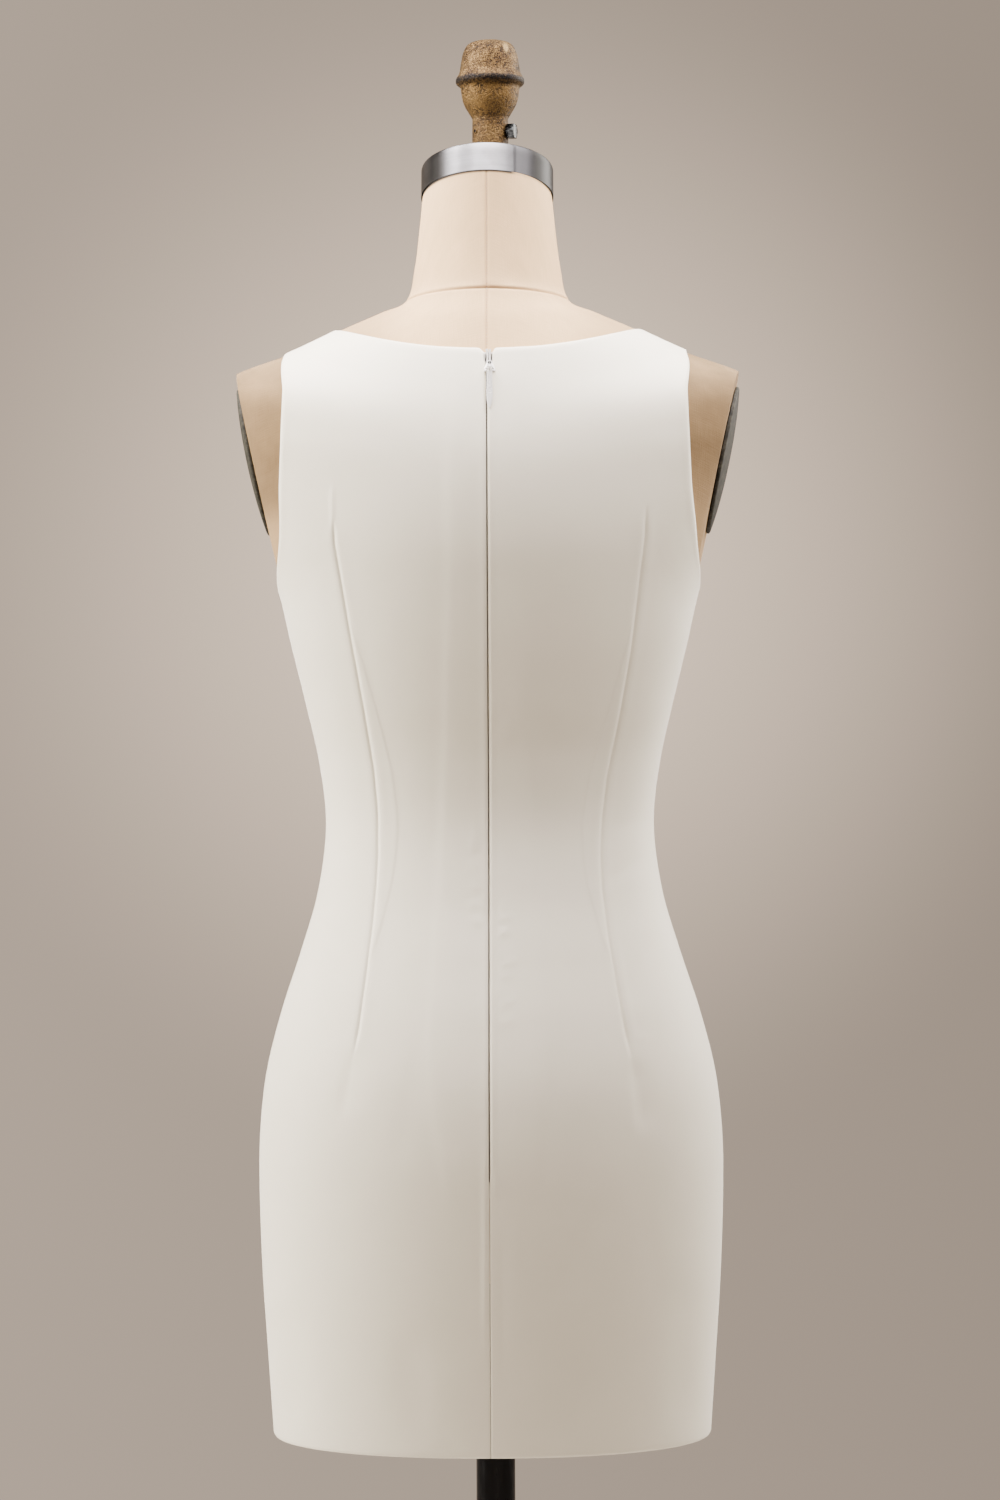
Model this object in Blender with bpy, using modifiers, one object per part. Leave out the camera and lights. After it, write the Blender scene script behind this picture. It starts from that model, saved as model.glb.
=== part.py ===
"""Fitted sleeveless mini dress on a limbless dress form and its stand.

Metres, +Z up, the floor at z = 0 and the pole on the Z axis. The front of the dress
faces -Y, and its back, with the zip, faces +Y.

One table of rings gives the shape of the dress's outer face from its hem to the neck of
the form. The panels are grids on that face with a wall behind them, and the form is the
same face moved inwards.
"""
import math

import bmesh
import bpy
from mathutils import Matrix, Vector

MM = 0.001
OBJECT_NAME = "bodycon_dress_on_form"

# Dress.
CLOTH = 0.0012              # thickness of the wall
SEAM_GAP = 0.0003           # between two panels at a seam
ZIP_GAP = 0.0013            # between the back panels along the zip
ZIP_END_Z = 0.787           # where the zip stops and the plain seam begins
DART_DEPTH = 0.0007         # how far a stitched dart sinks into the face
DART_HALF_WIDTH = 0.0035
DART_TAPER = 0.025          # length over which a dart runs out

# Form.
FORM_X = 0.0024             # the form sits this far to the +X side of its pole
EASE = 0.0015               # cloth to form where the dress stands off
SEAT = 0.0006               # cloth to form on the shoulders, which carry the dress
ZIP_RELIEF = 0.0009         # extra room in the form behind the zip tape
ZIP_RELIEF_HALF_WIDTH = 0.016
UNDERARM_RELIEF = 0.0010    # and under the tight curve of the armhole's foot
FORM_BOTTOM_Z = 0.712
FORM_BOTTOM_ROUND = 0.006
POLE_SOCKET_DEPTH = 0.070

# Arm plates, on faces that lean in towards the waist.
ARM_FACE_X = 0.1852         # of the face's middle line, from the form's centre
ARM_FACE_Z = 1.366          # the height where that is measured
ARM_FACE_SLOPE = 0.21       # inwards for each unit down
PLATE_Z = 1.313
PLATE_HALF_HEIGHT = 0.056
PLATE_HALF_WIDTH = 0.038
# Dished plate: share of its half size, and height off its back in millimetres.
PLATE_PROFILE = (
    (0.0, 6.4), (0.35, 6.1), (0.62, 5.2), (0.82, 4.1), (0.94, 3.2), (0.985, 2.6),
    (1.0, 1.8), (1.0, 0.5), (0.985, 0.0), (0.0, 0.0))
PLATE_SEGMENTS = 36
PLATE_GAP = 0.0003

# Neck band and finial.
NECK_LEAN = math.radians(16.0)
NECK_TOP_Z = 1.510
BAND_RADIUS = 0.0496
BAND_HEIGHT = 0.0226
BAND_ROUND = 0.0012
FINIAL_TOP_Z = 1.6281
FINIAL_COLLAR_RADIUS = 0.0135
# Cap, flared brim and bowl: radius and depth below the top, in millimetres, to the collar.
FINIAL_PROFILE = (
    (0.0, 0.0), (6.0, 0.2), (11.0, 0.9), (14.6, 2.0), (16.8, 3.4), (19.2, 7.0),
    (20.8, 11.6), (21.6, 16.1), (22.3, 20.7), (23.0, 24.3), (24.5, 27.0), (25.5, 28.8),
    (25.8, 30.6), (25.2, 32.5), (23.0, 34.3), (22.0, 36.1), (20.9, 43.4), (19.5, 47.9),
    (17.0, 52.5), (14.9, 56.1), (13.5, 58.8))
BOLT_Z = 1.5593
BOLT_TURN = math.radians(-20.0)         # from -X, towards the back
BOLT_HEAD_ACROSS_FLATS = 0.0105
BOLT_HEAD_LENGTH = 0.0065
BOLT_SHANK_RADIUS = 0.0030
BOLT_SHANK_DEPTH = 0.0060
COLLAR_HOLE_RADIUS = 0.0016
COLLAR_HOLE_DEPTH = 0.0040
COLLAR_HOLE_TURN = math.radians(36.9)
FIT = 0.0003               # gap between hard pieces that meet

# Stand.
POLE_RADIUS = 0.0146
BASE_RADIUS = 0.200
BASE_THICKNESS = 0.012
BASE_EDGE_ROUND = 0.004
BASE_FOOT_ROUND = 0.001
# Hub: radius and height above the plate, in millimetres, from its rim out.
HUB_PROFILE = ((18.6, 22.0), (21.0, 20.0), (22.2, 10.0), (30.0, 3.0), (34.0, 0.0))

# Zip.
TAPE_HALF_WIDTH = 0.0095
TAPE_THICKNESS = 0.0007
TAPE_GAP = 0.0003
TAPE_TAIL = 0.012           # tape below the end of the zip
SLIDER_Z = 1.3745
SLIDER_SIDE = -0.0022       # it sits a little to the wearer's right of the gap
SLIDER_LENGTH = 0.0095
SLIDER_TOP_WIDTH = 0.0046
SLIDER_WIDTH = 0.0084
SLIDER_THICKNESS = 0.0012
SLIDER_CORNER = 0.0012      # radius of its lower corners
SLIDER_FLANK = ((-0.05, 0.82), (0.45, 0.55))    # height and width, as shares of the halves
LUG_RADIUS = 0.0021
LUG_HOLE_RADIUS = 0.00105
LUG_WIDTH = 0.0014
LUG_RISE = 0.0016           # pin's centre above the slider's face
LUG_FOOT = 0.0004           # slider below the lug
PULL_LENGTH = 0.0305
PULL_WIDTH = 0.0046
PULL_THICKNESS = 0.0010
PULL_CORNER = 0.0008        # radius of its upper corners
PULL_SHAPE = ((0.30, 0.86), (0.62, 1.00), (0.82, 0.86), (0.96, 0.40))
                            # length from the pin and half width, as shares of the whole
PULL_EYE_LENGTH = 0.0024    # from the pin down to the far edge of the eye
PULL_ARM = 0.0012           # width of the metal each side of the eye
PULL_TIP_CLEAR = 0.0006     # pull's tip to the cloth

# Rings of the dress's outer face, in millimetres from the form's centre line. Each is
# an oval that may dip or rise towards the back and the front. armhole_back and
# armhole_front are the half widths at which the panels end. flat is 1 where the ring
# lies in one leaning plane.
RING_COLUMNS = (
    "z_side", "half_width", "z_back", "back", "z_front", "front",
    "square_back", "square_front", "armhole_back", "armhole_front", "flat")
RINGS = {
    "hem": (586, 163.6, 586, 109.0, 586, 96.0, 2.20, 2.20, 163.6, 163.6, 0),
    "low_thigh": (646, 167.6, 646, 113.5, 646, 98.0, 2.20, 2.20, 167.6, 167.6, 0),
    "thigh": (706, 171.4, 706, 117.5, 706, 100.0, 2.20, 2.20, 171.4, 171.4, 0),
    "low_hip": (766, 173.4, 766, 120.0, 766, 101.5, 2.20, 2.20, 173.4, 173.4, 0),
    "hip": (811, 172.9, 811, 120.0, 811, 102.0, 2.20, 2.20, 172.9, 172.9, 0),
    "seat": (856, 168.0, 856, 116.5, 856, 101.5, 2.20, 2.20, 168.0, 168.0, 0),
    "high_hip": (901, 156.8, 901, 108.0, 901, 100.0, 2.20, 2.20, 156.8, 156.8, 0),
    "belly": (946, 142.1, 946, 96.5, 946, 97.5, 2.22, 2.22, 142.1, 142.1, 0),
    "under_waist": (991, 129.0, 991, 85.5, 991, 92.5, 2.25, 2.25, 129.0, 129.0, 0),
    "waist": (1040, 122.8, 1040, 79.0, 1040, 88.0, 2.25, 2.25, 122.8, 122.8, 0),
    "over_waist": (1086, 127.4, 1086, 81.0, 1086, 91.5, 2.25, 2.25, 127.4, 127.4, 0),
    "ribs": (1131, 137.4, 1131, 88.0, 1131, 100.0, 2.25, 2.25, 137.4, 137.4, 0),
    "bust": (1175, 148.2, 1175, 95.0, 1175, 112.0, 2.22, 2.25, 148.2, 148.2, 0),
    "underarm": (1216, 157.9, 1216, 100.5, 1216, 114.0, 2.18, 2.20, 157.9, 157.9, 0),
    "low_arm": (1256, 173.0, 1248, 104.0, 1248, 110.0, 2.08, 2.10, 154.4, 150.0, 0),
    "mid_arm": (1300, 192.0, 1282, 105.0, 1280, 103.0, 1.95, 2.00, 151.8, 143.0, 0),
    "high_arm": (1342, 205.0, 1312, 103.5, 1306, 94.5, 1.90, 1.95, 150.0, 141.0, 0),
    "shoulder_end": (1374, 200.0, 1338, 99.5, 1324, 87.0, 1.90, 1.95, 148.8, 142.5, 0),
    "shoulder_tip": (1395.2, 148.4, 1363, 93.0, 1335, 80.5, 2.0, 2.0, 148.4, 148.4, 0),
    "neckline": (1411.2, 113.5, 1389, 83.5, 1346, 74.5, 2.10, 2.10, 113.5, 113.5, 0),
    "nape": (1425, 81.5, 1413, 71.5, 1378, 61.0, 2.0, 2.0, 81.5, 81.5, 0),
    "neck_seam": (1433.5, 62.4, 1436, 60.0, 1407, 51.5, 2.0, 2.0, 62.4, 62.4, 0.2),
    "low_neck": (1457, 56.4, 1464, 54.5, 1439, 51.0, 2.0, 2.0, 56.4, 56.4, 0.7),
    "mid_neck": (1483, 53.0, 1494, 51.5, 1469, 50.5, 2.0, 2.0, 53.0, 53.0, 1),
    "neck_top": (1510, 50.2, 1524.4, 50.2, 1495.6, 50.2, 2.0, 2.0, 50.2, 50.2, 1),
}
RING_NAMES = tuple(RINGS)

# Bust cups: millimetres.
CUP_COLUMNS = ("x", "z", "rise", "half_width", "half_height")
CUPS = ((80.0, 1172.0, 19.0, 40.0, 44.0), (-80.0, 1172.0, 19.0, 40.0, 44.0))

# Back darts: height and distance from the centre line, in millimetres.
DART_LINE = (
    (873, 101.2), (894, 97.2), (932, 91.3), (968, 85.5), (997, 82.8), (1020, 81.6),
    (1049, 82.3), (1082, 85.7), (1124, 93.5), (1166, 101.2), (1199, 106.2), (1247, 113.4))

COLOURS = {
    "crepe": ((0.87, 0.85, 0.81), 0.62, 0.0),
    "canvas": ((0.74, 0.66, 0.55), 0.85, 0.0),
    "steel": ((0.55, 0.53, 0.51), 0.32, 1.0),
    "bronze": ((0.42, 0.30, 0.18), 0.45, 1.0),
    "plate_grey": ((0.16, 0.15, 0.13), 0.50, 0.6),
    "zip_metal": ((0.62, 0.60, 0.56), 0.35, 1.0),
    "zip_tape": ((0.80, 0.78, 0.74), 0.80, 0.0),
    "pole_black": ((0.02, 0.02, 0.02), 0.18, 0.3),
}


# --------------------------------------------------------------------------- surface
NEAR = 0.004                # step in angle and level for the face's normal


def level_of(name):
    """Number of a named ring, counted from the hem."""
    return RING_NAMES.index(name)


def cubic(before, start, end, after, t):
    """Smooth value between start and end, with the neighbours' slopes."""
    slope_in = (end - before) / 2.0
    slope_out = (after - start) / 2.0
    return (start * (2 * t ** 3 - 3 * t ** 2 + 1) + slope_in * (t ** 3 - 2 * t ** 2 + t)
            + end * (3 * t ** 2 - 2 * t ** 3) + slope_out * (t ** 3 - t ** 2))


def ring(level):
    """Sizes of the ring at a level, which may lie between two rows of the table."""
    last = len(RING_NAMES) - 1
    level = min(max(level, 0.0), float(last))
    low = min(int(level), last - 1)
    picks = (max(low - 1, 0), low, low + 1, min(low + 2, last))
    rows = [RINGS[RING_NAMES[pick]] for pick in picks]
    return {name: cubic(*(row[column] for row in rows), level - low)
            for column, name in enumerate(RING_COLUMNS)}


def level_at_back_height(z):
    """Level whose ring crosses the centre back at the height z."""
    low, high = 0.0, float(len(RING_NAMES) - 1)
    for _ in range(40):
        middle = (low + high) / 2.0
        if ring(middle)["z_back"] * MM < z:
            low = middle
        else:
            high = middle
    return low


def cup_rise(x, z):
    """How far the bust stands out of the plain front at x and z, in millimetres."""
    rise = 0.0
    for cup in CUPS:
        size = dict(zip(CUP_COLUMNS, cup))
        across = (x - size["x"]) / size["half_width"]
        up = (z - size["z"]) / size["half_height"]
        rise += size["rise"] * math.exp(-(across ** 2 + up ** 2) / 2.0)
    return rise


def face_point(angle, level):
    """Point of the dress's outer face. The angle is 0 at the back, 90 degrees at +X."""
    size = ring(level)
    at_back = math.cos(angle) >= 0.0
    depth = size["back"] if at_back else size["front"]
    square = size["square_back"] if at_back else size["square_front"]
    end_z = size["z_back"] if at_back else size["z_front"]
    sine, cosine = math.sin(angle), math.cos(angle)
    reach = (abs(sine / size["half_width"]) ** square + abs(cosine / depth) ** square)
    reach **= -1.0 / square
    x, y = reach * sine, reach * cosine
    share = abs(y) / depth
    share = size["flat"] * share + (1.0 - size["flat"]) * share ** 2
    z = size["z_side"] + (end_z - size["z_side"]) * share
    if not at_back:
        y -= cup_rise(x, z) * share
    return Vector((x * MM + FORM_X, y * MM, z * MM))


def surface(angle, level, out=0.0):
    """Point on the face, or moved along its normal by out, in metres."""
    point = face_point(angle, level)
    if out == 0.0:
        return point
    around = face_point(angle + NEAR, level) - face_point(angle - NEAR, level)
    up = face_point(angle, level + NEAR) - face_point(angle, level - NEAR)
    return point + up.cross(around).normalized() * out


def angle_at_width(x, level, at_back=True):
    """Angle at which the ring is x millimetres from the centre line."""
    size = ring(level)
    depth = size["back"] if at_back else size["front"]
    square = size["square_back"] if at_back else size["square_front"]
    ratio = min(abs(x) / size["half_width"], 1.0)
    y = depth * (1.0 - ratio ** square) ** (1.0 / square)
    angle = math.atan2(abs(x), y)
    return angle if at_back else math.pi - angle


# ---------------------------------------------------------------------------- meshes
def new_collection(name):
    collection = bpy.data.collections.new(name)
    bpy.context.scene.collection.children.link(collection)
    return collection


def finish_material(name):
    material = bpy.data.materials.get(name)
    if material is None:
        colour, roughness, metallic = COLOURS[name]
        material = bpy.data.materials.new(name)
        material.use_nodes = True
        shader = material.node_tree.nodes["Principled BSDF"]
        shader.inputs["Base Color"].default_value = (*colour, 1.0)
        shader.inputs["Roughness"].default_value = roughness
        shader.inputs["Metallic"].default_value = metallic
    return material


def add_object(name, data, collection, finish=None):
    thing = bpy.data.objects.new(name, data)
    collection.objects.link(thing)
    if finish:
        data.materials.append(finish_material(finish))
    return thing


def add_mesh(name, bm, collection, finish=None, smooth_angle=None):
    mesh = bpy.data.meshes.new(name)
    bm.to_mesh(mesh)
    bm.free()
    if smooth_angle is not None:
        mesh.shade_smooth()
        mesh.set_sharp_from_angle(angle=math.radians(smooth_angle))
    return add_object(name, mesh, collection, finish)


def add_cutter(name, bm, cutters):
    cutter = add_mesh(name, bm, cutters)
    cutter.hide_render = True
    cutter.display_type = "WIRE"
    return cutter


def add_boolean(thing, other, operation="DIFFERENCE"):
    modifier = thing.modifiers.new(other.name, "BOOLEAN")
    modifier.operation = operation
    modifier.object = other
    modifier.solver = "EXACT"


def add_bevel(thing, width, segments=2):
    modifier = thing.modifiers.new("edge", "BEVEL")
    modifier.width = width
    modifier.segments = segments
    modifier.limit_method = "ANGLE"
    modifier.angle_limit = math.radians(40.0)


def cylinder(radius, length, segments=32, matrix=None, end_radius=None):
    """Closed cylinder or cone about its own Z axis."""
    bm = bmesh.new()
    bmesh.ops.create_cone(
        bm, cap_ends=True, segments=segments, radius1=radius,
        radius2=radius if end_radius is None else end_radius, depth=length,
        matrix=matrix or Matrix.Identity(4))
    return bm


def turned(name, profile, collection, finish, segments=40):
    """Solid of revolution from a profile of (radius, height), top to bottom."""
    bm = bmesh.new()
    points = [bm.verts.new((radius, 0.0, height)) for radius, height in profile]
    for first, second in zip(points, points[1:]):
        bm.edges.new((first, second))
    thing = add_mesh(name, bm, collection, finish)
    screw = thing.modifiers.new("turn", "SCREW")
    screw.angle = math.tau
    screw.steps = segments
    screw.render_steps = segments
    screw.use_merge_vertices = True
    screw.merge_threshold = 0.00001
    screw.use_smooth_shade = True
    return thing


def sheet_wall(name, angles_at, levels, out_at, thickness, collection, finish):
    """Open grid on the face with a wall behind it.

    angles_at(level) gives the angles across, and out_at(column, angle, level) how far
    each point is moved out of the face.
    """
    across = len(angles_at(levels[0])) - 1
    up = len(levels) - 1
    rows = [angles_at(level) for level in levels]
    bm = bmesh.new()
    bmesh.ops.create_grid(bm, x_segments=across, y_segments=up, size=0.5)
    for vertex in bm.verts:
        column = round((vertex.co.x + 0.5) * across)
        row = up - round((vertex.co.y + 0.5) * up)
        angle, level = rows[row][column], levels[row]
        vertex.co = surface(angle, level, out_at(column, angle, level))
    thing = add_mesh(name, bm, collection, finish, smooth_angle=50)
    wall = thing.modifiers.new("wall", "SOLIDIFY")
    wall.thickness = thickness
    wall.offset = -1.0
    return thing


# ----------------------------------------------------------------------------- dress
BODY_STEPS = 20             # grid rows from the hem to the underarm
ARMHOLE_STEPS = 12          # and from there to the shoulder tip
STRAP_STEPS = 2             # and over the shoulder to the neckline
INNER_COLUMNS = 5           # back panel: centre to dart
OUTER_COLUMNS = 5           # back panel: dart to side
FRONT_COLUMNS = 20
EDGE_STRIP = 0.0025         # width of the column along a side seam or armhole
SEAM_SNAP = 0.05            # millimetres: an edge this near the full width is a side seam
DART_RUN = 0.020            # a dart's face lies about this much further out than the back


def spread(start, end, steps):
    """Steps + 1 even values from start to end."""
    return [start + (end - start) * step / steps for step in range(steps + 1)]


def dress_levels():
    """Levels of the grid rows, closer together at both ends of the armhole."""
    underarm = level_of("underarm")
    tip = level_of("shoulder_tip")
    armhole = [underarm + (tip - underarm) * (1.0 - math.cos(turn)) / 2.0
               for turn in spread(0.0, math.pi, ARMHOLE_STEPS)]
    return (spread(0.0, underarm, BODY_STEPS)[:-1] + armhole[:-1]
            + spread(tip, level_of("neckline"), STRAP_STEPS))


def side_angle(level, at_back):
    """Angle of a panel's outer edge: side seam, armhole or shoulder seam."""
    size = ring(level)
    edge = size["armhole_back"] if at_back else size["armhole_front"]
    on_seam = edge > size["half_width"] - SEAM_SNAP
    quarter = math.pi / 2
    half_gap = math.atan2(SEAM_GAP / 2.0, size["half_width"] * MM)
    angle = quarter if on_seam else angle_at_width(edge, level, at_back)
    return min(angle, quarter - half_gap) if at_back else max(angle, quarter + half_gap)


def dart_offset(z):
    """Distance of the dart line from the centre line at z, both in millimetres."""
    if z <= DART_LINE[0][0]:
        return DART_LINE[0][1]
    for (low_z, low_x), (high_z, high_x) in zip(DART_LINE, DART_LINE[1:]):
        if z <= high_z:
            share = (z - low_z) / (high_z - low_z)
            return low_x + (high_x - low_x) * share
    return DART_LINE[-1][1]


def dart_share(level):
    """Dart's angle as a share of the way from the centre back to the panel's edge."""
    lowest = level_at_back_height(DART_LINE[0][0] * MM)
    highest = level_at_back_height(DART_LINE[-1][0] * MM)
    at = min(max(level, lowest), highest)
    x = dart_offset(ring(at)["z_back"])
    return angle_at_width(x, at) / side_angle(at, True)


def dart_sink(level):
    """Depth of the dart at a level, running out at both ends."""
    z = ring(level)["z_back"] * MM
    from_ends = min(z - DART_LINE[0][0] * MM, DART_LINE[-1][0] * MM - z)
    return DART_DEPTH * min(max(from_ends / DART_TAPER, 0.0), 1.0)


def centre_angle(level):
    """Half the gap at the centre back, as an angle."""
    size = ring(level)
    gap = ZIP_GAP if size["z_back"] * MM > ZIP_END_Z else SEAM_GAP
    return math.atan2(gap / 2.0, size["back"] * MM)


def hem_angle(level):
    """Width, as an angle, of the narrow column that squares a panel's edge."""
    return EDGE_STRIP / (ring(level)["half_width"] * MM)


def back_angles(level):
    """Angles across one back panel, from the centre to its outer edge."""
    start, end = centre_angle(level), side_angle(level, True)
    dart = end * dart_share(level)
    size = ring(level)
    groove = DART_HALF_WIDTH / (size["back"] * MM + DART_RUN)
    return (spread(start, dart - groove, INNER_COLUMNS) + [dart]
            + spread(dart + groove, end - hem_angle(level), OUTER_COLUMNS - 1) + [end])


def front_angles(level):
    edge = side_angle(level, False)
    strip = hem_angle(level)
    middle = spread(edge + strip, math.tau - edge - strip, FRONT_COLUMNS - 2)
    return [edge] + middle + [math.tau - edge]


def make_dress(collection):
    levels = dress_levels()

    def back_out(column, angle, level):
        at_dart = column == INNER_COLUMNS + 1
        return -dart_sink(level) if at_dart else 0.0

    def mirrored_out(column, angle, level):
        return back_out(INNER_COLUMNS + OUTER_COLUMNS + 2 - column, angle, level)

    def mirrored_angles(level):
        return [-angle for angle in reversed(back_angles(level))]

    def flush(column, angle, level):
        return 0.0

    sheet_wall("dress_back_left", back_angles, levels, back_out, CLOTH,
               collection, "crepe")
    sheet_wall("dress_back_right", mirrored_angles, levels, mirrored_out, CLOTH,
               collection, "crepe")
    sheet_wall("dress_front", front_angles, levels, flush, CLOTH, collection, "crepe")


# -------------------------------------------------------------------------------- zip
def make_zip_tape(collection):
    top = level_at_back_height(SLIDER_Z + SLIDER_LENGTH)
    bottom = level_at_back_height(ZIP_END_Z - TAPE_TAIL)
    inside = [level for level in dress_levels()
              if bottom + LEVEL_CLEAR < level < top - LEVEL_CLEAR]
    levels = [bottom] + inside + [top]

    def angles(level):
        edge = math.atan2(TAPE_HALF_WIDTH, ring(level)["back"] * MM)
        return spread(-edge, edge, 4)

    def behind(column, angle, level):
        return -(CLOTH + TAPE_GAP)

    sheet_wall("zip_tape", angles, levels, behind, TAPE_THICKNESS, collection, "zip_tape")


def zip_frame():
    """Place and tilt of the slider: its point on the cloth and the face's lean."""
    level = level_at_back_height(SLIDER_Z)
    point = surface(0.0, level) + Vector((SLIDER_SIDE, 0.0, 0.0))
    up = surface(0.0, level + 0.05) - surface(0.0, level - 0.05)
    lean = math.atan2(-up.y, up.z)
    return point, lean


def outline_curve(name, outlines, thickness, collection, finish):
    """Flat plate in local XY from closed outlines; an inner outline is a hole."""
    curve = bpy.data.curves.new(name, "CURVE")
    curve.dimensions = "2D"
    curve.fill_mode = "BOTH"
    curve.extrude = thickness / 2.0
    for outline in outlines:
        spline = curve.splines.new("POLY")
        spline.points.add(len(outline) - 1)
        for point, (x, y) in zip(spline.points, outline):
            point.co = (x, y, 0.0, 1.0)
        spline.use_cyclic_u = True
    return add_object(name, curve, collection, finish)


def curve_to_mesh(thing):
    """Mesh object with the curve's shape, place and name."""
    depsgraph = bpy.context.evaluated_depsgraph_get()
    mesh = bpy.data.meshes.new_from_object(thing.evaluated_get(depsgraph))
    bm = bmesh.new()
    bm.from_mesh(mesh)
    bmesh.ops.remove_doubles(bm, verts=bm.verts, dist=0.00001)
    bm.to_mesh(mesh)
    bm.free()
    name, place = thing.name, thing.matrix_world.copy()
    collection = thing.users_collection[0]
    bpy.data.objects.remove(thing)
    made = bpy.data.objects.new(name, mesh)
    collection.objects.link(made)
    made.matrix_world = place
    return made


def arc_points(centre, radius, start, end, steps):
    """Points on an arc in local XY; angles in degrees."""
    points = []
    for degrees in spread(start, end, steps):
        turn = math.radians(degrees)
        points.append((centre[0] + radius * math.cos(turn),
                       centre[1] + radius * math.sin(turn)))
    return points


def make_zip_slider(collection, cutters):
    """Bell-shaped slider with a lug that holds the pull."""
    point, lean = zip_frame()
    half = SLIDER_LENGTH / 2.0
    corner = SLIDER_CORNER
    low = SLIDER_WIDTH / 2.0 - corner
    high = SLIDER_TOP_WIDTH / 2.0
    flank = [(SLIDER_WIDTH / 2.0 * wide, half * up) for up, wide in SLIDER_FLANK]
    outline = (arc_points((-low, -half + corner), corner, 180, 270, 4)
               + arc_points((low, -half + corner), corner, 270, 360, 4)
               + flank
               + arc_points((0.0, half - high), high, 0, 180, 8)
               + [(-x, y) for x, y in reversed(flank)])
    plate = outline_curve("zip_slider", [outline], SLIDER_THICKNESS, collection, "zip_metal")
    slider = curve_to_mesh(plate)
    tilt = Matrix.Rotation(lean, 4, "X")
    to_face = Matrix.Rotation(math.pi / 2, 4, "X")
    lift = FIT + SLIDER_THICKNESS / 2.0
    slider.matrix_world = (Matrix.Translation(point) @ tilt
                           @ Matrix.Translation((0.0, lift, 0.0)) @ to_face)
    pin = pin_point()
    across = Matrix.Translation(pin) @ Matrix.Rotation(math.pi / 2, 4, "Y")
    lug = add_cutter("slider_lug", cylinder(LUG_RADIUS, LUG_WIDTH, 20, across), cutters)
    hole = add_cutter("slider_lug_hole", cylinder(LUG_HOLE_RADIUS, LUG_WIDTH * 3, 16, across),
                      cutters)
    add_boolean(slider, lug, "UNION")
    add_boolean(slider, hole)


def pin_point():
    """Centre of the pull's pin, in the world."""
    point, lean = zip_frame()
    local = Vector((0.0, FIT + SLIDER_THICKNESS + LUG_RISE,
                    LUG_RADIUS - SLIDER_LENGTH / 2.0 + LUG_FOOT))
    return point + Matrix.Rotation(lean, 3, "X") @ local


def make_zip_pull(collection):
    """Flat pull with an eye round the lug; its origin is on the hinge's axis."""
    pin = pin_point()
    tip_level = level_at_back_height(SLIDER_Z - SLIDER_LENGTH / 2.0 - PULL_LENGTH)
    tip = surface(0.0, tip_level, PULL_TIP_CLEAR + PULL_THICKNESS / 2.0)
    down = tip - pin
    hang = math.atan2(down.y, -down.z)
    half = PULL_WIDTH / 2.0
    pin_half = PULL_THICKNESS / 2.0
    corner = PULL_CORNER
    flank = [(-half * wide, -PULL_LENGTH * down) for down, wide in PULL_SHAPE]
    outline = (arc_points((half - corner, pin_half - corner), corner, 0, 90, 3)
               + arc_points((-half + corner, pin_half - corner), corner, 90, 180, 3)
               + flank + [(0.0, -PULL_LENGTH)] + [(-x, y) for x, y in reversed(flank)])
    inner = half - PULL_ARM
    eye = [(inner, -pin_half), (-inner, -pin_half),
           (-inner, -PULL_EYE_LENGTH), (inner, -PULL_EYE_LENGTH)]
    pull = outline_curve("zip_pull", [outline, eye], PULL_THICKNESS, collection, "zip_metal")
    pull.location = pin
    pull.rotation_euler = (math.pi / 2 + hang, 0.0, 0.0)


# -------------------------------------------------------------------------------- form
ARM_COLUMNS = 5             # form: between the dress's back and front panels
ARM_CUT_SIZE = 0.30         # cutter that trims the form to its arm face
LEVEL_CLEAR = 0.25          # least step, in levels, from a grid's end to its next row
UNDERARM_LEVELS = 0.5       # reach of the underarm relief, in levels


def form_angles(level):
    """Angles round the form: those of the panels, and more across each arm."""
    back = back_angles(level)[:-1]
    front = front_angles(level)[1:-1]
    left_arm = spread(back[-1], front[0], ARM_COLUMNS)[1:-1]
    right_arm = [math.tau - angle for angle in reversed(left_arm)]
    right_back = [math.tau - angle for angle in reversed(back)]
    return back + left_arm + front + right_arm + right_back


def form_inset(angle, level):
    """How far the form's skin lies behind the dress's outer face."""
    low, tip = level_of("mid_arm"), level_of("shoulder_tip")
    rise = min(max((level - low) / (tip - low), 0.0), 1.0)
    on_shoulder = rise * rise * (3.0 - 2.0 * rise) * abs(math.sin(angle)) ** 2
    above = min(max(level - level_of("neckline"), 0.0), 1.0)
    carried = max(on_shoulder, above)
    inset = CLOTH + SEAT + (EASE - SEAT) * (1.0 - carried)
    from_underarm = (level - level_of("underarm")) / UNDERARM_LEVELS
    inset += UNDERARM_RELIEF * math.exp(-from_underarm ** 2) * math.sin(angle) ** 8
    if math.cos(angle) > 0.0:
        across = ring(level)["back"] * MM * math.tan(min(abs(wrap(angle)), 1.2))
        share = math.exp(-(across / ZIP_RELIEF_HALF_WIDTH) ** 2)
        inset += ZIP_RELIEF * share * (1.0 - above)
    return inset


def wrap(angle):
    """Angle between -pi and pi."""
    return (angle + math.pi) % math.tau - math.pi


def form_levels():
    bottom = level_at_back_height(FORM_BOTTOM_Z + FORM_BOTTOM_ROUND)
    inside = [level for level in dress_levels() if level > bottom + LEVEL_CLEAR]
    neckline, seam, top = (level_of(name) for name in ("neckline", "neck_seam", "neck_top"))
    return ([bottom] + inside + spread(neckline, seam, 4)[1:] + spread(seam, top, 4)[1:])


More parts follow.
